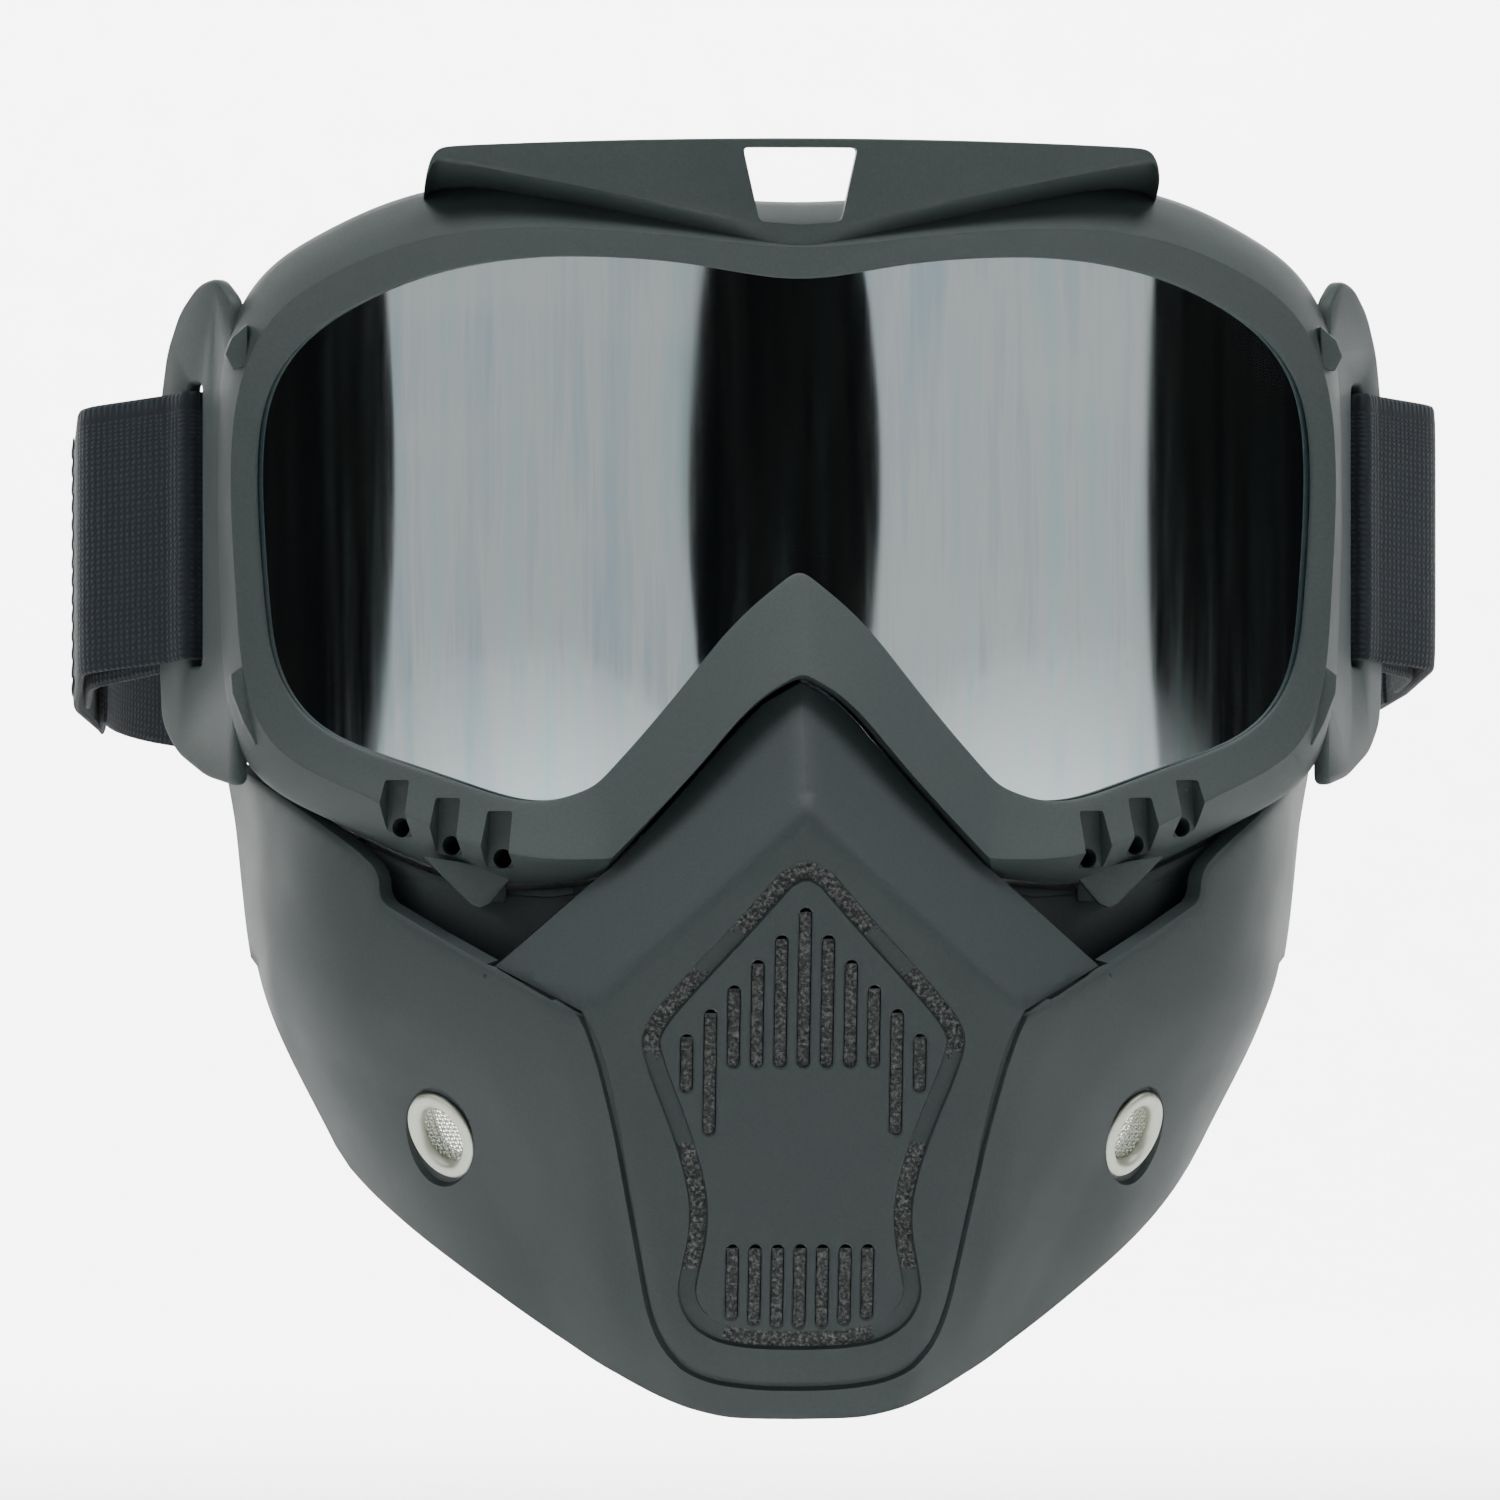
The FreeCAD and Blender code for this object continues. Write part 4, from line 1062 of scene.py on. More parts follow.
@dataclass
class MaskShell:
    """The clip-on mask: mouth panel with its shield and slots, wings, nose facets and pocket."""

    finish: bpy.types.Material
    textured: bpy.types.Material
    form: MaskForm = MaskForm()
    wall: float = 2.4
    wing_edge: tuple[Point, ...] = ((32.4, -78.75), (59.2, -63.2), (60.5, -61.6), (60.7, -58.6),
                                    (62.2, -56.2), (67.8, -51.8), (82.2, -41.6))
    jaw: tuple[Point, ...] = ((0, -138.1), (8, -138.0), (11.8, -137.5), (17.5, -135.9), (23.7, -132.9),
                              (30.7, -128.6), (37.3, -124.2), (43.4, -119.8), (49.4, -115.4), (55, -111),
                              (60.4, -106.0), (63.2, -102.7))
    nose_edge: tuple[Point, ...] = ((44.2, -71.6), (30.6, -59.6), (27.2, -56.8), (20.4, -49.8), (13, -41.3),
                                    (5.5, -33.3), (0, -30.1))
    step: tuple[Point, ...] = (
        (32.5, -78.5), (31.6, -80.0), (30.4, -82.6), (29.0, -87), (27.6, -92.7), (23.6, -113),
        (21.6, -123.2), (18.6, -128.8), (13.6, -131.9), (6.7, -133.0), (0, -133.2))
    shield: tuple[Point, ...] = ((0, -55.4), (7.9, -64.6), (15.6, -72.8), (22.2, -80.4), (22.2, -84.2),
                                 (17.4, -96.0), (15.0, -104.5), (14.9, -110.5), (16.3, -117), (16.6, -120),
                                 (14.6, -123.6), (10, -125.9), (0, -126.4))
    shoulder: tuple[Point, ...] = ((74.5, -71.2), (62, -76.2), (49.6, -82), (42.5, -89), (37, -98.5),
                                   (30, -112), (26.5, -119.5))
    upper_slots: tuple[tuple[float, float, float], ...] = (
        (0, -62.9, -86.3), (3.4, -66.9, -86.3), (6.8, -70.5, -86.3), (10.2, -74.2, -86.3),
        (13.6, -77.7, -96.2), (17.0, -81.3, -89.9))
    lower_slots: tuple[tuple[float, float, float], ...] = (
        (0, -112.1, -124.5), (3.3, -112.1, -124.4), (6.6, -112.1, -124.0), (9.9, -112.1, -123.2))
    slot_width: float = 1.95
    band: float = 1.15              # half width of the shield's sunk band
    seam: float = 0.42              # half width of the groove between panel and wing
    wall_slope: float = 0.24
    groove: float = 0.75            # depth of the groove and the band
    wing_rise: float = 0.6          # how far the wing stands out past the panel
    eyelet: Point = (51.6, -97.0)

    def symmetric(self, half: Sequence[Point], times: int) -> np.ndarray:
        """A half line and its mirror image as one rounded line on the unrolled skin."""
        if half[0][0] == 0 and half[-1][0] == 0:
            whole = [*half, *[(-x, z) for x, z in reversed(half) if x > 0], half[0]]
            ring = rounded(whole[:-1], times, closed=True)
            return self.form.unroll(resampled(ring + ring[:1], 1.1))
        whole = [*half, *[(-x, z) for x, z in reversed(half[:-1])]]
        return self.form.unroll(resampled(rounded(whole, times), 1.1))

    def seams(self) -> dict[str, np.ndarray]:
        """The skin's feature lines, unrolled, by name."""
        crease = [(31.2, -77.9), (0, -49.6)]
        return {
            "step": self.symmetric(self.step, 2),
            "shield": self.symmetric(self.shield, 2),
            "shoulder": self.form.unroll(resampled(rounded(self.shoulder, 2), 1.5)),
            "crease": self.form.unroll(resampled(crease, 1.5)),
            "wing_edge": self.form.unroll(resampled(rounded(self.wing_edge, 1), 1.2)),
        }

    def eyelet_ring(self, radius: float) -> np.ndarray:
        """A circle round the eyelet on the unrolled skin."""
        centre = self.form.unroll(np.array([self.eyelet]))[0]
        turns = np.linspace(0, 2 * math.pi, 40, endpoint=False)
        return centre + radius * np.column_stack([np.cos(turns), np.sin(turns)])

    def skin_map(self, seams: dict[str, np.ndarray]) -> SkinMap:
        """The flat map of the right half."""
        rear_z = np.arange(-99.5, -41.0, 1.5)
        _, width, _ = self.form.level(rear_z)
        rear = self.form.unroll(np.column_stack([width, rear_z]))
        jaw = self.form.unroll(resampled(rounded(self.jaw, 2), 1.4))
        wing = seams["wing_edge"][::-1]
        nose = self.form.unroll(resampled(self.nose_edge, 1.4))
        notch = self.form.unroll(np.array([(31.7, -78.75), (32.4, -77.95)]))
        middle = np.array([(0.0, z) for z in np.arange(-32, -138, -1.5)])
        outline = np.vstack([jaw, rear, wing[1:], notch, nose, middle])
        holes = [slot_outline(*slot, self.slot_width) for slot in self.upper_slots + self.lower_slots]
        holes.append(self.eyelet_ring(4.95))
        lines = []
        for name, reach in (("step", self.seam), ("shield", self.band)):
            for side in (1, -1):
                lines += [offset_line(seams[name], side * d) for d in (reach, reach + self.wall_slope)]
        lines.append(seams["shoulder"])
        lines += [offset_line(seams["crease"], d) for d in (-1.2, 0, 1.2)]
        lines += [offset_line(seams["wing_edge"][:-3], -d) for d in (0.35, 0.9)]
        for slot in self.upper_slots + self.lower_slots:
            x, top, bottom = slot
            ring = slot_outline(x, top + 0.28, bottom - 0.28, self.slot_width + 0.56)
            lines.append(np.vstack([ring, ring[:1]]))
        for radius in (7.2, 7.5):
            ring = self.eyelet_ring(radius)
            lines.append(np.vstack([ring, ring[:1]]))
        return SkinMap(outline, holes, lines)

    def sink(self, places: np.ndarray, seams: dict[str, np.ndarray]) -> np.ndarray:
        """How deep each place of the skin lies under the plain surface."""
        x = self.form.spread(places[:, 0], places[:, 1])
        z = places[:, 1]
        step, shield = distance_to(seams["step"], places), distance_to(seams["shield"], places)
        outer = ~inside(np.vstack([self.form.unroll(np.array([(31.4, -40.0)])), seams["step"]]), places)
        wing = outer & ~self.form.above_notch(x, z)
        depth = self.groove * np.clip((self.seam + self.wall_slope - step) / self.wall_slope, 0, 1)
        depth -= np.where(wing, self.wing_rise * smooth_step((step - self.seam) / 0.4), 0)
        sunk_band = np.clip((self.band + self.wall_slope - shield) / self.wall_slope, 0, 1)
        depth = np.maximum(depth, self.groove * sunk_band)
        shoulder = distance_to(seams["shoulder"], places)
        above = z > np.interp(x, *np.array(self.shoulder[::-1]).T)
        fall = np.where(above, 26.0, 11.0)
        swell = np.sqrt(shoulder ** 2 + 2.0) - math.sqrt(2.0)
        depth -= np.where(wing, 1.25 * np.clip(1 - swell / fall, 0, 1) * smooth_step((step - 0.6) / 6), 0)
        edge = distance_to(seams["wing_edge"], places)
        depth += np.where(wing, 0.5 * np.clip(1 - edge / 0.9, 0, 1) ** 2, 0)
        for slot in self.upper_slots + self.lower_slots:
            middle, half = slot[0], self.slot_width / 2
            lip = distance_to(np.array([(middle, slot[1] - half), (middle, slot[2] + half)]), places) - half
            depth += 0.22 * np.clip(1 - lip / 0.28, 0, 1) ** 2
        centre = self.form.unroll(np.array([self.eyelet]))[0]
        seat = np.linalg.norm(places - centre, axis=1)
        return np.where(seat < 7.35, np.maximum(depth, 0.9), depth)

    def skin(self) -> bpy.types.Object:
        """The whole skin with its thickness, both halves."""
        seams = self.seams()
        places, corners = self.skin_map(seams).triangles()
        outer = self.form.surface(places[:, 0], places[:, 1])
        normal = self.form.normal(places[:, 0], places[:, 1])
        on_middle = places[:, 0] < 1e-6
        normal[on_middle, 0] = 0
        normal /= np.linalg.norm(normal, axis=1)[:, None]
        sunk = outer - normal * self.sink(places, seams)[:, None]
        inner = outer - normal * self.wall
        inner[on_middle, 0] = sunk[on_middle, 0] = 0
        skin = walled("mask_skin", sunk, inner, corners, self.finish)
        skin.data.materials.append(self.textured)
        half = len(skin.data.polygons) // 2
        for index in self.rough_faces(places, corners, seams):
            for face in (index, half + index):
                skin.data.polygons[face].material_index = 1
        return outward(skin, 2e-5)

    def rough_faces(self, places: np.ndarray, corners: np.ndarray, seams: dict[str, np.ndarray]) -> list[int]:
        """The faces of the shield's band that carry the crystal texture."""
        middle = places[corners].mean(1)
        x, z = middle[:, 0], middle[:, 1]
        stretch = ((z > -66.2) | ((z < -72.4) & (z > -84.4) & (x > 13)) | ((z < -97.2) & (z > -115.8))
                   | ((z < -124.9) & (x < 11)))
        return list(np.nonzero((distance_to(seams["shield"], middle) < self.band) & stretch)[0])

    @staticmethod
    def inner_wall(x: np.ndarray | float) -> np.ndarray | float:
        """Depth of the curved wall behind the wings, which runs beside the goggles' lower edge."""
        return POCKET_CENTRE - np.sqrt(POCKET_RADIUS ** 2 - np.square(x))

    def pocket(self) -> list[bpy.types.Object]:
        """Behind each wing's edge: the ledge, the curved back wall and the cheek wall of the nose."""
        depth = self.inner_wall
        edge = [(33.4, -78.9), (40, -74.9), (50, -69.2), (59.2, -63.9), (60.6, -61.8), (60.9, -58.9),
                (62.4, -56.6), (67.8, -52.5)]
        places = self.form.unroll(np.array(edge))
        fronts = self.form.surface(places[:, 0], places[:, 1])[:, 1] + 1.6
        behind = [max(front, depth(x)) + 1.2 for front, (x, _) in zip(fronts, edge)]
        ledge = [[(x, y, z - lift) for (x, z), y in zip(edge, line)]
                 for line, lift in ((fronts, 0.7), (fronts, 2.4), (behind, 2.4), (behind, 0.7))]
        top = [(30.8, -60.9), (36, -61.6), (42, -61.2), (53, -58.8), (61, -55.4), (67.6, -52.1),
               (70.5, -50.4)]
        low = [(33.4, -68), (39, -75), (44, -73.6), (54, -68), (61.4, -64), (66, -56.4), (70, -52.4)]
        wall = [[(x, depth(x) + back, z) for x, z in line]
                for line, back in ((top, 0), (low, 0), (low, self.wall), (top, self.wall))]
        nose = [(30.4, -59.9), (34, -63.2), (38, -66.6), (42, -70.0), (43.8, -71.5)]
        skin = [(x, y + 0.5, z) for (x, z), y in zip(nose, self.form.facet(*np.array(nose).T))]
        rear = [(x, depth(x) + 1.5, z) for x, z in nose]
        cheek = [skin, [(x - 1.5, y, z - 1.3) for x, y, z in skin],
                 [(x - 1.5, y, z - 1.3) for x, y, z in rear], rear]
        pieces = []
        lofts = {"ledge": ledge, "pocket_wall": wall, "cheek_wall": cheek, "sill": self.sill()}
        for name, rows in lofts.items():
            piece = loft(name, [np.array(r) for r in rows], [0.8] * 4, closed_rows=False, caps=True)
            pieces.append(bevelled(outward(piece), 0.3, 2, 50))
        tongue = prism("tongue", [(42.0, -54.6), (47.6, -54.6), (47.6, -62.4), (42.0, -62.4)], -26.2, -23.8)
        pieces.append(bevelled(tongue, 0.4, 2, 50))
        return pieces + [mirrored(p, p.name + "_twin") for p in pieces]

    def sill(self) -> list[np.ndarray]:
        """The lip that runs back under the goggles, from the nose to the cheek."""
        dense = Stations().dense()
        opening, body = dense["opening"], dense["body"]
        out = (body - opening) / np.linalg.norm(body - opening, axis=1)[:, None]
        part = (body[:, 1] < -29.0) & (body[:, 0] < 70.5)
        body, out = body[part], out[part]
        x, wall = body[:, 0], self.inner_wall(body[:, 0])
        on_nose = np.minimum(self.form.facet(x, body[:, 1]) + 1.0, wall - 1.0)
        start, end = np.where(x < 29.5, on_nose, wall + 0.5), Bend().rear(x) - 4.0
        rows = []
        for reach, depth in ((0.75, start), (-0.6, end), (1.4, end), (2.8, start)):
            line = body + out * reach
            rows.append(np.column_stack([line[:, 0], depth, line[:, 1]]))
        return rows

    def build(self) -> bpy.types.Object:
        """The whole mask, in place and dressed."""
        skin = self.skin()
        others = self.pocket()
        for part in others:
            part.data.materials.clear()
            part.data.materials.append(self.finish)
        mask = joined("mask_shell_looks", [skin, *others])
        shaded(mask, 34)
        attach(mask, "mask")
        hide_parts("mask_shell")
        LOG.info("mask shell: %d faces", len(mask.data.polygons))
        return mask


# ---------------------------------------------------------------- repeated details, as Geometry Nodes


class Side(Enum):
    """The two sides of the object, as seen from the front."""

    RIGHT = 1
    LEFT = -1

    @property
    def label(self) -> str:
        """The side as part of a piece's name."""
        return self.name.lower()


class Repeats:
    """A Geometry Nodes group that repeats one small shape, and what it takes to turn it into a mesh."""

    def __init__(self, name: str, inputs: dict[str, float | int]) -> None:
        """Starts the group.

        Args:
            name: the group's name.
            inputs: each input's first value, by name; Geometry and Material are always there.
        """
        self.name = name
        self.tree = bpy.data.node_groups.new(name, "GeometryNodeTree")
        face = self.tree.interface
        face.new_socket(name="Geometry", in_out="INPUT", socket_type="NodeSocketGeometry")
        for label, value in inputs.items():
            kind = "NodeSocketInt" if isinstance(value, int) else "NodeSocketFloat"
            face.new_socket(name=label, in_out="INPUT", socket_type=kind).default_value = value
        face.new_socket(name="Material", in_out="INPUT", socket_type="NodeSocketMaterial")
        face.new_socket(name="Geometry", in_out="OUTPUT", socket_type="NodeSocketGeometry")
        self.given = add_node(self.tree, "NodeGroupInput").outputs

    def node(self, kind: str, inputs: dict | None = None, **settings) -> bpy.types.Node:
        """Adds a node to the group."""
        return add_node(self.tree, kind, inputs, **settings)

    def geo(self, kind: str, inputs: dict | None = None, **settings) -> bpy.types.Node:
        """Adds a geometry node, whose type is given without its first part."""
        return self.node("GeometryNode" + kind, inputs, **settings)

    def sum(self, operation: str, *values) -> bpy.types.NodeSocket:
        """The result of a Math node."""
        return self.node("ShaderNodeMath", dict(enumerate(values)), operation=operation).outputs["Value"]

    def vector(self, **parts) -> bpy.types.NodeSocket:
        """A vector from its parts, named X, Y and Z; a part left out is 0."""
        return self.node("ShaderNodeCombineXYZ", parts).outputs["Vector"]

    def real(self, instances: bpy.types.NodeSocket) -> bpy.types.NodeSocket:
        """Instances as real geometry."""
        return self.geo("RealizeInstances", {"Geometry": instances}).outputs["Geometry"]

    def finish(self, geometry: bpy.types.NodeSocket) -> None:
        """Ends the group with its geometry dressed in its material."""
        dressed = self.geo("SetMaterial", {"Geometry": geometry, "Material": self.given["Material"]})
        self.node("NodeGroupOutput", {"Geometry": dressed.outputs["Geometry"]})

    def run(self, base: bpy.types.Object, name: str, material: bpy.types.Material, **values
            ) -> bpy.types.Object:
        """Applies the group.

        Args:
            base: the mesh it starts from, which is used up.
            name: the name of the result.
            material: the finish of the result.
            values: values for the named inputs, with underscores for spaces.

        Returns:
            The result as a plain mesh object.
        """
        made = base.modifiers.new(self.name, "NODES")
        made.node_group = self.tree
        for item in self.tree.interface.items_tree:
            label = item.name.replace(" ", "_")
            if item.in_out == "INPUT" and label in values:
                made[item.identifier] = values[label]
            elif item.in_out == "INPUT" and item.name == "Material":
                made[item.identifier] = material
        bpy.context.view_layer.update()
        shape = base.evaluated_get(bpy.context.evaluated_depsgraph_get())
        result = bpy.data.objects.new(name, bpy.data.meshes.new_from_object(shape))
        result.data.name = name
        bpy.context.scene.collection.objects.link(result)
        bpy.data.objects.remove(base, do_unlink=True)
        return result


def stitch_group() -> Repeats:
    """Stitches laid end to end along a line."""
    group = Repeats("stitch_row", {"Pitch": 0.0026, "Length": 0.002, "Thread": 0.00035, "Seed": 7})
    given = group.given
    curve = group.geo("MeshToCurve", {"Mesh": given["Geometry"]}).outputs["Curve"]
    spaced = group.geo("ResampleCurve", {"Curve": curve, "Length": given["Pitch"]}, mode="LENGTH")
    ball = group.geo("MeshUVSphere", {"Segments": 8, "Rings": 6, "Radius": 0.5})
    size = group.vector(X=given["Length"], Y=given["Thread"], Z=given["Thread"])
    stitch = group.geo("Transform", {"Geometry": ball.outputs["Mesh"], "Scale": size})
    tangent = group.geo("InputTangent").outputs["Tangent"]
    turned = group.node("FunctionNodeAlignEulerToVector", {"Vector": tangent}, axis="X")
    wobble = group.node("FunctionNodeRandomValue", {"Min": (-0.05,) * 3, "Max": (0.05,) * 3,
                                                    "Seed": given["Seed"]}, data_type="FLOAT_VECTOR")
    rotation = group.node("ShaderNodeVectorMath", {0: turned.outputs["Rotation"], 1: wobble.outputs[0]})
    placed = group.geo("InstanceOnPoints", {"Points": spaced.outputs["Curve"],
                                            "Instance": stitch.outputs["Geometry"],
                                            "Rotation": rotation.outputs["Vector"]})
    group.finish(group.real(placed.outputs["Instances"]))
    return group


def wire_cloth_group() -> Repeats:
    """A round disc of plain-woven wire, flat in its own X and Y."""
    group = Repeats("wire_cloth", {"Wires": 19, "Pitch": 0.0005, "Wire": 0.0001, "Radius": 0.004})
    given, sums = group.given, group.sum
    half = sums("MULTIPLY", sums("MULTIPLY", given["Wires"], given["Pitch"]), 0.5)
    first = sums("MULTIPLY", sums("SUBTRACT", given["Wires"], 1.0), sums("MULTIPLY", given["Pitch"], -0.5))
    line = group.geo("CurvePrimitiveLine", {"Start": group.vector(X=sums("MULTIPLY", half, -1.0)),
                                            "End": group.vector(X=half)})
    fine = group.geo("ResampleCurve", {"Curve": line.outputs["Curve"],
                                       "Count": sums("MULTIPLY", given["Wires"], 4.0)}, mode="COUNT")
    place = group.geo("InputPosition").outputs["Position"]
    along = group.node("ShaderNodeSeparateXYZ", {"Vector": place}).outputs["X"]
    phase = sums("MULTIPLY", sums("DIVIDE", sums("SUBTRACT", along, first), given["Pitch"]), math.pi)
    lift = group.vector(Z=sums("MULTIPLY", sums("COSINE", phase), given["Wire"]))
    waved = group.geo("SetPosition", {"Geometry": fine.outputs["Curve"], "Offset": lift})
    profile = group.geo("CurvePrimitiveCircle", {"Resolution": 5, "Radius": given["Wire"]})
    wire = group.geo("CurveToMesh", {"Curve": waved.outputs["Geometry"],
                                     "Profile Curve": profile.outputs["Curve"]})
    row = group.geo("MeshLine", {"Count": given["Wires"], "Start Location": group.vector(Y=first),
                                 "Offset": group.vector(Y=given["Pitch"])})
    index = group.geo("InputIndex").outputs["Index"]
    both = group.geo("JoinGeometry")
    for shift, turn in ((0.0, 0.0), (1.0, math.pi / 2)):
        odd = sums("MODULO", sums("ADD", index, shift), 2.0)
        laid = group.geo("InstanceOnPoints", {"Points": row.outputs["Mesh"], "Instance": wire.outputs["Mesh"],
                                              "Rotation": group.vector(X=sums("MULTIPLY", odd, math.pi))})
        turned = group.geo("Transform", {"Geometry": laid.outputs["Instances"], "Rotation": (0.0, 0.0, turn)})
        group.tree.links.new(turned.outputs["Geometry"], both.inputs["Geometry"])
    reach = group.node("ShaderNodeVectorMath", {0: place}, operation="LENGTH").outputs["Value"]
    beyond = group.node("FunctionNodeCompare", {"A": reach, "B": given["Radius"]},
                        operation="GREATER_THAN", data_type="FLOAT").outputs["Result"]
    cloth = group.real(both.outputs["Geometry"])
    group.finish(group.geo("DeleteGeometry", {"Geometry": cloth, "Selection": beyond}).outputs["Geometry"])
    return group


def slot_pad_group() -> Repeats:
    """One grainy pad for each point, as tall as the point's attribute says and leaning with the panel."""
    group = Repeats("slot_pads", {"Width": 0.0018, "Depth": 0.0016, "Grain": 0.0005, "Relief": 0.0003})
    given = group.given
    block = group.geo("MeshCube", {"Size": (1.0, 1.0, 1.0), "Vertices X": 8, "Vertices Y": 3,
                                   "Vertices Z": 60})
    tall, lean = (group.geo("InputNamedAttribute", {"Name": name}, data_type="FLOAT").outputs["Attribute"]
                  for name in ("tall", "lean"))
    size = group.vector(X=given["Width"], Y=given["Depth"], Z=tall)
    placed = group.geo("InstanceOnPoints", {"Points": given["Geometry"], "Instance": block.outputs["Mesh"],
                                            "Rotation": group.vector(X=lean), "Scale": size})
    grain = group.node("ShaderNodeTexNoise", {"Scale": group.sum("DIVIDE", 1.0, given["Grain"]),
                                              "Detail": 1.0})
    raised = group.sum("MULTIPLY", group.sum("SUBTRACT", grain.outputs["Fac"], 0.5), given["Relief"])
    rough = group.geo("SetPosition", {"Geometry": group.real(placed.outputs["Instances"]),
                                      "Offset": group.vector(Y=raised)})
    group.finish(rough.outputs["Geometry"])
    return group


# ---------------------------------------------------------------- lens, foam and filter


@dataclass
class Lens:
    """The wraparound lens, with the faint waist that draws its reflections in at mid height."""

    finish: bpy.types.Material
    smoke: bpy.types.Material       # of the side towards the face
    stations: Stations = Stations()
    lap: float = 2.8
    thick: float = 1.6
    waist: float = 0.56
    waist_span: float = 75.0
    waist_height: float = 30.0

    def build(self) -> bpy.types.Object:
        """The lens, in place and dressed."""
        bend, dense = self.stations.bend, self.stations.dense()
        opening, body = dense["opening"], dense["body"]
        out = (body - opening) / np.linalg.norm(body - opening, axis=1)[:, None]
        edge = resampled(opening + out * self.lap, 2.0)
        middle = [(0.0, z) for z in np.arange(edge[-1, 1] + 2, edge[0, 1] - 1, 2.0)]
        places, corners = SkinMap(np.vstack([edge, middle]), pitch=2.2, clear=1.2).triangles()
        x, z = places[:, 0], places[:, 1]
        bow = self.waist * np.sin(math.pi * x / self.waist_span) * (1 - (z / self.waist_height) ** 2)
        front = np.column_stack([x, bend.lens(x) - bow, z])
        back = np.column_stack([x, bend.lens(x) + self.thick, z])
        lens = walled("lens_looks", front, back, corners, self.finish)
        lens.data.materials.append(self.smoke)
        half = len(lens.data.polygons) // 2
        for index in range(len(corners), 2 * len(corners)):
            for face in (index, half + index):
                lens.data.polygons[face].material_index = 1
        outward(lens, 2e-5)
        shaded(lens, 40)
        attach(lens, "goggles")
        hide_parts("lens")
        LOG.info("lens: %d faces", len(lens.data.polygons))
        return lens


@dataclass
class FaceFoam:
    """The soft ring that seals the goggles against the face, with rounded edges and a shallow dip."""

    finish: bpy.types.Material
    stations: Stations = Stations()
    outer: float = 2.0
    # distance in from the outer edge, share of the foam's depth, crease
    section: tuple[tuple[float, float, float], ...] = (
        (0, 0.02, 0.7), (0, 0.3, 0.0), (0.4, 0.75, 0.0), (1.6, 0.95, 0.0), (4.2, 1.0, 0.0), (6.5, 0.97, 0.0),
        (9.0, 1.0, 0.0), (11.0, 0.93, 0.0), (12.0, 0.72, 0.0), (12.0, 0.3, 0.0), (12.0, 0.02, 0.7))

    def build(self) -> bpy.types.Object:
        """The foam ring, in place and dressed."""
        bend, dense = self.stations.bend, self.stations.dense(2)
        opening, body = dense["opening"], dense["body"]
        out = (body - opening) / np.linalg.norm(body - opening, axis=1)[:, None]
        rows = []
        for inward, share, creased in self.section:
            outline = body - out * (self.outer + inward)
            x = outline[:, 0]
            depth = bend.rear(x) + (bend.face(x) - bend.rear(x)) * share
            rows.append((with_left(np.column_stack([x, depth, outline[:, 1]])), creased))
        foam = loft("face_foam_looks", [r for r, _ in rows], [c for _, c in rows], finish=self.finish)
        subdivided(foam, 2)
        shaded(foam, 60)
        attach(foam, "goggles")
        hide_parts("face_foam")
        LOG.info("face foam: %d faces", len(foam.data.polygons))
        return foam


@dataclass
class MouthFilter:
    """The filter behind the mouth panel, whose grainy face fills each slot."""

    finish: bpy.types.Material
    shell: MaskShell
    sunk: float = 0.55
    depth: float = 2.6

    def build(self) -> bpy.types.Object:
        """The pads in the slots, in place and dressed."""
        shell = self.shell
        slots = [(sign * x, top, bottom) for x, top, bottom in shell.upper_slots + shell.lower_slots
                 for sign in ((1, -1) if x else (1,))]
        places, tall, lean = [], [], []
        for x, top, bottom in slots:
            z = np.array([top, bottom, (top + bottom) / 2])
            y = shell.form.surface(np.full(3, abs(x)), z)[:, 1]
            places.append((x, y[2] + self.sunk + self.depth / 2, z[2]))
            tall.append((top - bottom - 0.1) * MM)
            lean.append(math.atan2(y[1] - y[0], top - bottom))
        points = new_object("slot_points", places, [])
        for name, values in (("tall", tall), ("lean", lean)):
            points.data.attributes.new(name, "FLOAT", "POINT").data.foreach_set("value", values)
        pads = slot_pad_group().run(points, "mouth_filter_looks", self.finish, Depth=self.depth * MM,
                                    Width=(shell.slot_width - 0.3) * MM, Grain=0.55 * MM, Relief=0.5 * MM)
        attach(pads, "mask")
        LOG.info("slot pads: %d faces", len(pads.data.polygons))
        return pads


# ---------------------------------------------------------------- straps and sliders


def bent(points: Sequence[Point], radii: Sequence[float], step: float = 3.0) -> np.ndarray:
    """A path with its corners turned into arcs.

    Args:
        points: the path's corners, ends included.
        radii: the radius at each inner corner.
        step: the longest distance between two points of the result.

    Returns:
        The points along the path.
    """
    corners = [np.asarray(p, float) for p in points]
    path = [corners[0]]
    for before, corner, after, radius in zip(corners, corners[1:], corners[2:], radii):
        a, b = before - corner, after - corner
        a, b = a / np.linalg.norm(a), b / np.linalg.norm(b)
        turn = math.pi - math.acos(float(np.clip(a @ b, -1, 1)))
        cut = radius * math.tan(turn / 2)
        centre = corner + (a + b) / np.linalg.norm(a + b) * math.hypot(radius, cut)
        start, end = corner + a * cut - centre, corner + b * cut - centre
        steps = max(3, math.ceil(turn / math.radians(14)))
        arc = [centre + (start * math.sin(turn - k / steps * turn) + end * math.sin(k / steps * turn))
               / math.sin(turn) for k in range(steps + 1)]
        gap = arc[0] - path[-1]
        pieces = max(1, math.ceil(float(np.linalg.norm(gap)) / step))
        path += [path[-1] + gap * k / pieces for k in range(1, pieces)] + arc
    gap = corners[-1] - path[-1]
    pieces = max(1, math.ceil(float(np.linalg.norm(gap)) / step))
    origin = path[-1]
    return np.array(path + [origin + gap * k / pieces for k in range(1, pieces + 1)])


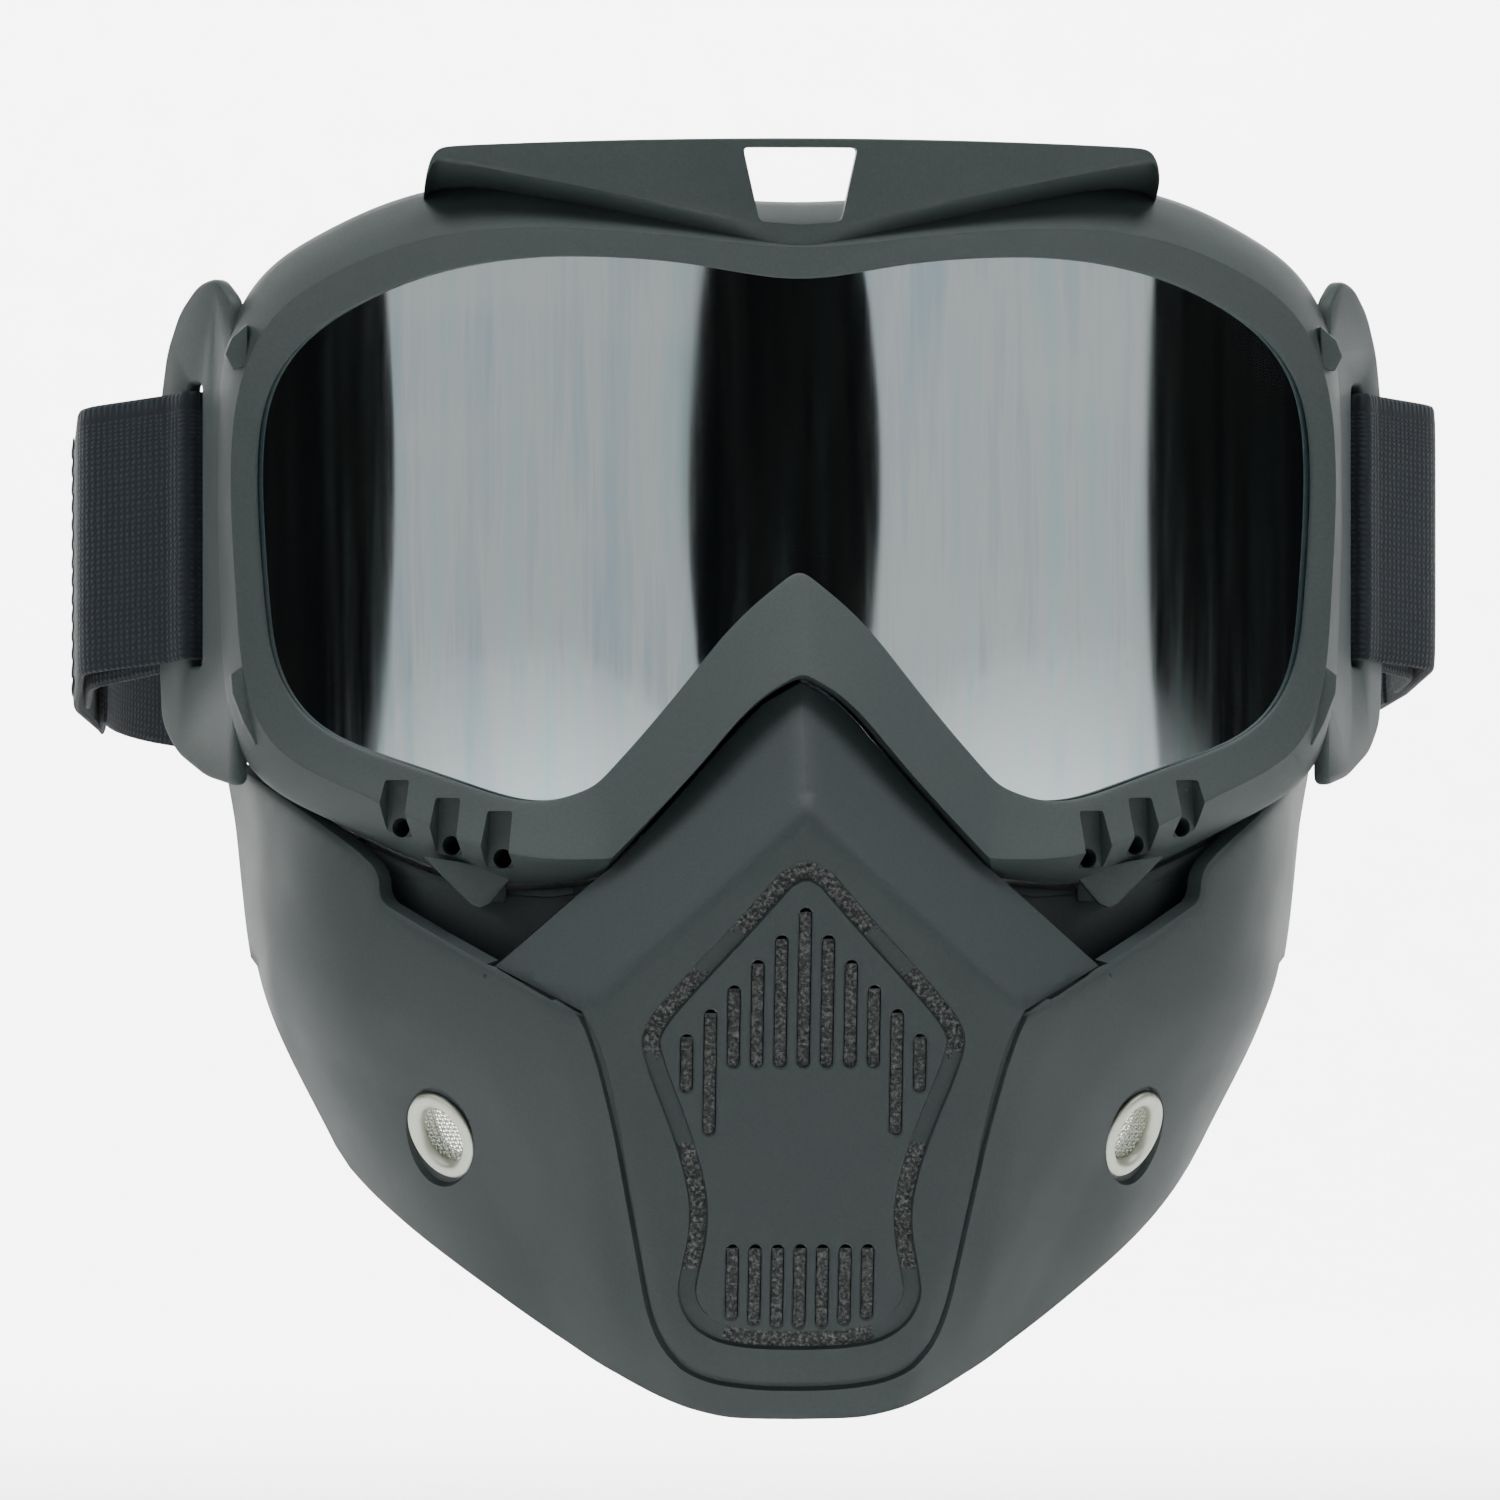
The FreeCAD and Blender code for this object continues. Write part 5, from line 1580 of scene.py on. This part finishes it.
@dataclass
class Strap:
    """One half of the elastic head strap, folded through its ear, sewn to itself and led round the back."""

    finish: bpy.types.Material
    thread: bpy.types.Material
    side: Side
    bulge: float                    # how far the loop beside the ear stands out past the plain strap
    droop: float                    # how much lower the strap gets for each step back
    back: float                     # depth of the strap behind the head
    frame: GoggleFrame
    thick: float = 1.5
    half_width: float = 20.0
    level: float = -6.6

    def ear_point(self, along: float, across: float) -> Point:
        """A place beside the ear, along it from its root and across its thickness."""
        turn = math.radians(self.frame.ear_angle)
        x, y = self.frame.ear_root
        return (x + along * math.cos(turn) + across * math.sin(turn),
                y + along * math.sin(turn) - across * math.cos(turn))

    def path(self) -> np.ndarray:
        """The strap's centre line in plan, on the right."""
        out, reach = 99.0 + self.bulge, self.back
        corners = [(out - 1.65, 56), (out - 1.65, 34), self.ear_point(20, -2.15),
                   self.ear_point(10.05, -2.15), self.ear_point(10.05, 2.15), self.ear_point(14, 2.3),
                   (out, 20), (out, 56),
                   (99.0, 78), (99.0, reach), (-46, reach)]
        return bent(corners, [12, 8, 1, 1, 4, 7, 24, 24, 24 + reach / 8])

    def placed(self, plan: np.ndarray, normal: np.ndarray, off: float, rise: float) -> np.ndarray:
        """The line at an offset from the centre line, in space, on this strap's side."""
        x, y = (plan + normal * off).T
        z = self.level + rise - self.droop * (plan[:, 1] - 6)
        return np.column_stack([x * self.side.value, y, z])

    def build(self) -> list[bpy.types.Object]:
        """The strap and its stitches, in place and dressed."""
        plan = self.path()
        run = np.gradient(plan, axis=0)
        run /= np.linalg.norm(run, axis=1)[:, None]
        normal = np.column_stack([run[:, 1], -run[:, 0]])
        t, w = self.thick / 2, self.half_width
        section = [(t, w - 0.7), (t, w / 3), (t, -w / 3), (t, 0.7 - w), (t * 0.5, -w), (-t * 0.5, -w),
                   (-t, 0.7 - w), (-t, -w / 3), (-t, w / 3), (-t, w - 0.7), (-t * 0.5, w), (t * 0.5, w)]
        rows = [self.placed(plan, normal, off, rise) for off, rise in section]
        name = f"strap_{self.side.label}"
        strap = loft(name + "_looks", rows, [0.0] * len(rows), closed_rows=False, caps=True,
                     finish=self.finish)
        self.unwrap(strap, plan, section)
        subdivided(strap, 1)
        outward(strap, 1e-7)
        shaded(strap, 50)
        stitches = []
        for index, depth in enumerate((41.0, 44.0, 47.0)):
            at = int(np.argmin(np.hypot(plan[:, 0] - 99 - self.bulge, plan[:, 1] - depth)))
            column = [self.placed(plan[at:at + 1], normal[at:at + 1], t + 0.06, rise)[0]
                      for rise in np.linspace(2 - w, w - 2, 12)]
            line = new_object("stitch_line", column, [], edges=[(i, i + 1) for i in range(len(column) - 1)])
            stitches.append(stitch_group().run(line, f"{name}_stitches_{index}", self.thread, Seed=index))
        seam = joined(name + "_stitches", stitches)
        for piece in (strap, seam):
            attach(piece, "goggles")
            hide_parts(name)
        LOG.info("%s: %d faces", name, len(strap.data.polygons))
        return [strap, seam]

    @staticmethod
    def unwrap(strap: bpy.types.Object, plan: np.ndarray, section: Sequence[Point]) -> None:
        """Lays a map on the strap whose unit is a metre: along it, then round it."""
        mesh, width = strap.data, len(plan)
        along = np.concatenate([[0], np.cumsum(np.linalg.norm(np.diff(plan, axis=0), axis=1))]) * MM
        corners = np.array([*section, section[0]])
        around = np.concatenate([[0], np.cumsum(np.linalg.norm(np.diff(corners, axis=0), axis=1))]) * MM
        layer = mesh.uv_layers.new(name=STRAP_MAP)
        for face in mesh.polygons:
            rows = [mesh.loops[i].vertex_index // width for i in face.loop_indices]
            wraps = max(rows) - min(rows) > 1 and len(rows) == 4
            for loop, row in zip(face.loop_indices, rows):
                column = mesh.loops[loop].vertex_index % width
                turn = len(section) if wraps and row == 0 else row
                layer.data[loop].uv = (along[column], around[turn])


def softened(node: bpy.types.Object, width: float, segments: int = 2, angle: float = 40.0) -> None:
    """Gives a CAD node's sharp edges a small radius."""
    weld = node.modifiers.new("weld", "WELD")
    weld.merge_threshold = 1e-5
    edge = node.modifiers.new("edge", "BEVEL")
    edge.width, edge.segments, edge.limit_method = width * MM, segments, "ANGLE"
    edge.angle_limit = math.radians(angle)
    edge.harden_normals = False


# ---------------------------------------------------------------- eyelets


@dataclass
class Eyelet:
    """A nickel eyelet let into the mask, with a disc of woven wire across its bore."""

    finish: bpy.types.Material
    wire: bpy.types.Material
    side: Side
    shell: MaskShell
    flange: float = 13.8            # outer diameter
    bore: float = 8.6
    seat: float = 0.9
    length: float = 4.3
    mesh_depth: float = 1.5

    def place(self) -> Matrix:
        """Where the eyelet stands: its Z axis points out of the mask."""
        form, (x, z) = self.shell.form, self.shell.eyelet
        spot = form.unroll(np.array([(x, z)]))
        centre = form.surface(spot[:, 0], spot[:, 1])[0]
        normal = form.normal(spot[:, 0], spot[:, 1])[0]
        side = np.array([self.side.value, 1, 1])
        turn = Vector(normal * side).to_track_quat("Z", "Y").to_matrix().to_4x4()
        return Matrix.Translation(Vector(centre * side) * MM) @ turn

    def ring(self) -> bpy.types.Object:
        """The flange with its rolled rim, and the barrel."""
        outer, bore, foot = self.flange / 2, self.bore / 2, -self.seat + 0.1
        tail = -self.length
        profile = [(outer, foot), (outer, foot + 0.35), (outer - 0.45, foot + 0.8),
                   (outer - 1.2, foot + 0.95), (bore + 0.7, foot + 0.8),
                   (bore + 0.15, foot + 0.35), (bore, foot - 0.3), (bore, tail),
                   (bore + 1.2, tail - 0.1), (bore + 1.3, tail + 0.5), (bore + 0.5, tail + 0.6),
                   (bore + 0.5, foot)]
        turns = np.linspace(0, 2 * math.pi, 40, endpoint=False)
        rows = [np.column_stack([r * np.cos(turns), r * np.sin(turns), np.full(40, h)]) for r, h in profile]
        creases = [0.6, 0.1, 0, 0, 0, 0, 0.3, 0.2, 0.3, 0.3, 0.5, 0.6]
        return subdivided(loft("eyelet_ring", rows, creases, finish=self.finish), 1)

    def build(self) -> None:
        """The ring and the wire cloth, in place and dressed."""
        ring = shaded(self.ring(), 50)
        base = new_object("cloth_base", [(0, 0, 0)], [])
        cloth = wire_cloth_group().run(base, "eyelet_cloth", self.wire, Wires=15, Pitch=0.62 * MM,
                                       Wire=0.13 * MM, Radius=(self.bore / 2 - 0.05) * MM)
        cloth.data.transform(Matrix.Translation(Vector((0, 0, -self.mesh_depth * MM))))
        shaded(cloth, 60)
        place = self.place()
        for piece, node, slot in ((ring, "eyelet", "eyelet_nickel"), (cloth, "eyelet_mesh", "mesh_steel")):
            piece.data.transform(place)
            piece.name = piece.data.name = f"{node}_{self.side.label}_looks"
            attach(piece, "mask")
            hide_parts(f"{node}_{self.side.label}")
        LOG.info("eyelet %s: %d and %d faces", self.side.label, len(ring.data.polygons),
                 len(cloth.data.polygons))


# ---------------------------------------------------------------- stage, lights and camera


@dataclass
class Studio:
    """A pale sweep, and soft panels in front, to the sides, above, behind and over the sweep."""

    width: float = 0.220            # of the view, across the object
    distance: float = 2.0
    yaw: float = -4.0
    target: tuple[float, float, float] = (-0.0065, -0.030, -0.040)
    floor: float = -0.215
    sweep_foot: float = 2.2         # where the floor starts to curve up
    sweep_bend: float = 0.8
    surround: float = 0.006         # strength of the world's light on the object
    backdrop: float = 0.9           # strength of the world as the camera sees it

    def sweep(self) -> None:
        """The floor, which curves up behind the object and can be seen through from behind."""
        paper = Surface("paper_sweep")
        behind = paper.add("NewGeometry").outputs["Backfacing"]
        clear = paper.add("BsdfTransparent").outputs["BSDF"]
        mixed = paper.add("MixShader", {0: behind, 1: paper.shader.outputs["BSDF"], 2: clear})
        paper.tree.links.new(mixed.outputs["Shader"], paper.tree.nodes["Material Output"].inputs["Surface"])
        made = paper.done(Base_Color=paper.mix(paper.noise(50 / 3, 3.0), "#f1f1f0", "#f8f8f7"), Roughness=0.9)
        foot, bend = self.sweep_foot, self.sweep_bend
        profile = [(-3.0, 0.0), (foot, 0.0)]
        profile += [(foot + bend * math.sin(a), bend - bend * math.cos(a))
                    for a in np.linspace(0.1, math.pi / 2, 14)]
        profile.append((foot + bend, 4.0))
        vertices = [(x / MM, y / MM, (z + self.floor) / MM) for x in (-4.0, 4.0) for y, z in profile]
        n = len(profile)
        faces = [(i, n + i, n + i + 1, i + 1) for i in range(n - 1)]
        floor = shaded(new_object("sweep", vertices, faces, made), 60)

    def panel(self, name: str, azimuth: float, height: float, distance: float, size: tuple[float, float],
              power: float, aim: tuple[float, float, float] = (0, 0, -0.04)) -> None:
        """A rectangular soft light.

        Args:
            name: the light's name.
            azimuth: degrees round from straight in front, to the right.
            height: metres above the origin.
            distance: metres from the origin, level.
            size: width and height in metres.
            power: watts.
            aim: the place it faces.
        """
        data = bpy.data.lights.new(name, "AREA")
        data.shape, data.size, data.size_y, data.energy = "RECTANGLE", size[0], size[1], power
        lamp = bpy.data.objects.new(name, data)
        bpy.context.scene.collection.objects.link(lamp)
        turn = math.radians(azimuth)
        spot = Vector((math.sin(turn) * distance, -math.cos(turn) * distance, height))
        lamp.location = spot
        lamp.rotation_euler = (Vector(aim) - spot).to_track_quat("-Z", "Y").to_euler()
        lamp.visible_camera = False

    def world(self) -> None:
        """A dim, even surround that the camera sees as a pale backdrop."""
        world = bpy.data.worlds.new("studio")
        world.use_nodes = True
        back = world.node_tree.nodes["Background"]
        back.inputs["Color"].default_value = linear("#f4f6f7")
        seen = add_node(world.node_tree, "ShaderNodeLightPath").outputs["Is Camera Ray"]
        power = add_node(world.node_tree, "ShaderNodeMapRange", {"Value": seen, "To Min": self.surround,
                                                                 "To Max": self.backdrop})
        world.node_tree.links.new(power.outputs["Result"], back.inputs["Strength"])
        bpy.context.scene.world = world

    def camera(self) -> None:
        """The camera, level with the mask and a little to the left."""
        data = bpy.data.cameras.new("camera")
        data.sensor_width = 36.0
        data.lens = 36.0 * self.distance / self.width
        lens = bpy.data.objects.new("camera", data)
        bpy.context.scene.collection.objects.link(lens)
        turn = math.radians(self.yaw)
        target = Vector(self.target)
        lens.location = target + Vector((math.sin(turn), -math.cos(turn), 0)) * self.distance
        lens.rotation_euler = (target - lens.location).to_track_quat("-Z", "Y").to_euler()
        bpy.context.scene.camera = lens

    def build(self) -> None:
        """Everything round the object."""
        self.camera()
        self.sweep()
        self.world()
        self.panel("panel_left", -34, 0.05, 1.15, (1.017, 1.3), 1.9)
        self.panel("panel_right", 36.1, 0.05, 1.15, (0.948, 1.3), 1.9)
        for name, azimuth, height, distance, size, power in (
                ("panel_side", 72, 0.5, 1.1, (0.7, 0.35), 2.2), ("panel_top", 55, 1.45, 0.6, (0.8, 0.6), 14),
                ("panel_back", 150, 0.7, 1.2, (0.8, 0.8), 1.5)):
            self.panel(name + "_left", -azimuth, height, distance, size, power)
            self.panel(name + "_right", azimuth, height, distance, size, power)
        self.panel("panel_sweep", 0, 1.3, -1.3, (3.6, 1.0), 360, (0, 3.0, 0.5))


# ---------------------------------------------------------------- all together


def dress(node: bpy.types.Object, finish: bpy.types.Material) -> None:
    """Gives a CAD node a finish."""
    for place in node.material_slots:
        place.material = finish
    if not node.material_slots:
        node.data.materials.append(finish)


def main() -> None:
    """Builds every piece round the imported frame, in order."""
    logging.basicConfig(level=logging.INFO, format="%(message)s")
    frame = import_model()
    nodes = frame["nodes"]
    plastic = Moulded().material()
    shell = Moulded("moulded_abs_charcoal", "#313b3c", "#293334").material()
    satin = Moulded("moulded_abs_satin", "#2b3031", "#232829", 0.42, 0.6).material()
    acetal = Moulded("moulded_acetal", "#1d2122", "#171a1b", 0.36, 0.8).material()
    rubber = Moulded("silicone_rubber", "#1a1d1e", "#141617", 0.62, 0.7).material()
    grainy = Granular().material()
    nickel = Nickel().material()
    steel = Nickel("stainless_wire", "#b9beb4", 0.3).material()
    webbing = Knitted().material()
    thread = Foam("polyester_thread", "#2c3942", "#18212a", 0.3).material()
    seal = Foam("fleece_faced_foam", "#26292b", "#121415", 0.7).material()
    filter_foam = Foam("filter_foam").material()

    Studio().build()
    goggles = GoggleFrame(plastic)
    goggles.build()
    smoke = Moulded("smoke_polycarbonate", "#14181a", "#0f1314", 0.12, 0.6, 0.001).material()
    Lens(MirrorLens().material(), smoke).build()
    FaceFoam(seal).build()
    mask = MaskShell(shell, grainy)
    mask.build()
    MouthFilter(grainy, mask).build()
    Strap(webbing, thread, Side.RIGHT, bulge=1.3, droop=0.10, back=104.0, frame=goggles).build()
    Strap(webbing, thread, Side.LEFT, bulge=4.4, droop=0.15, back=102.35, frame=goggles).build()
    for side in Side:
        Eyelet(nickel, steel, side, mask).build()
    finishes = {"lens_gasket": rubber, "inner_frame": satin, "filter_retainer": satin,
                "mouth_filter": filter_foam, "slider_right": acetal, "slider_left": acetal,
                "eyelet_washer_right": nickel, "eyelet_washer_left": nickel}
    for name, finish in finishes.items():
        dress(nodes[name], finish)
        LOG.info("%s: dressed", name)
    for name in ("slider_right", "slider_left"):
        softened(nodes[name], 0.7)


if __name__ == "__main__":
    main()
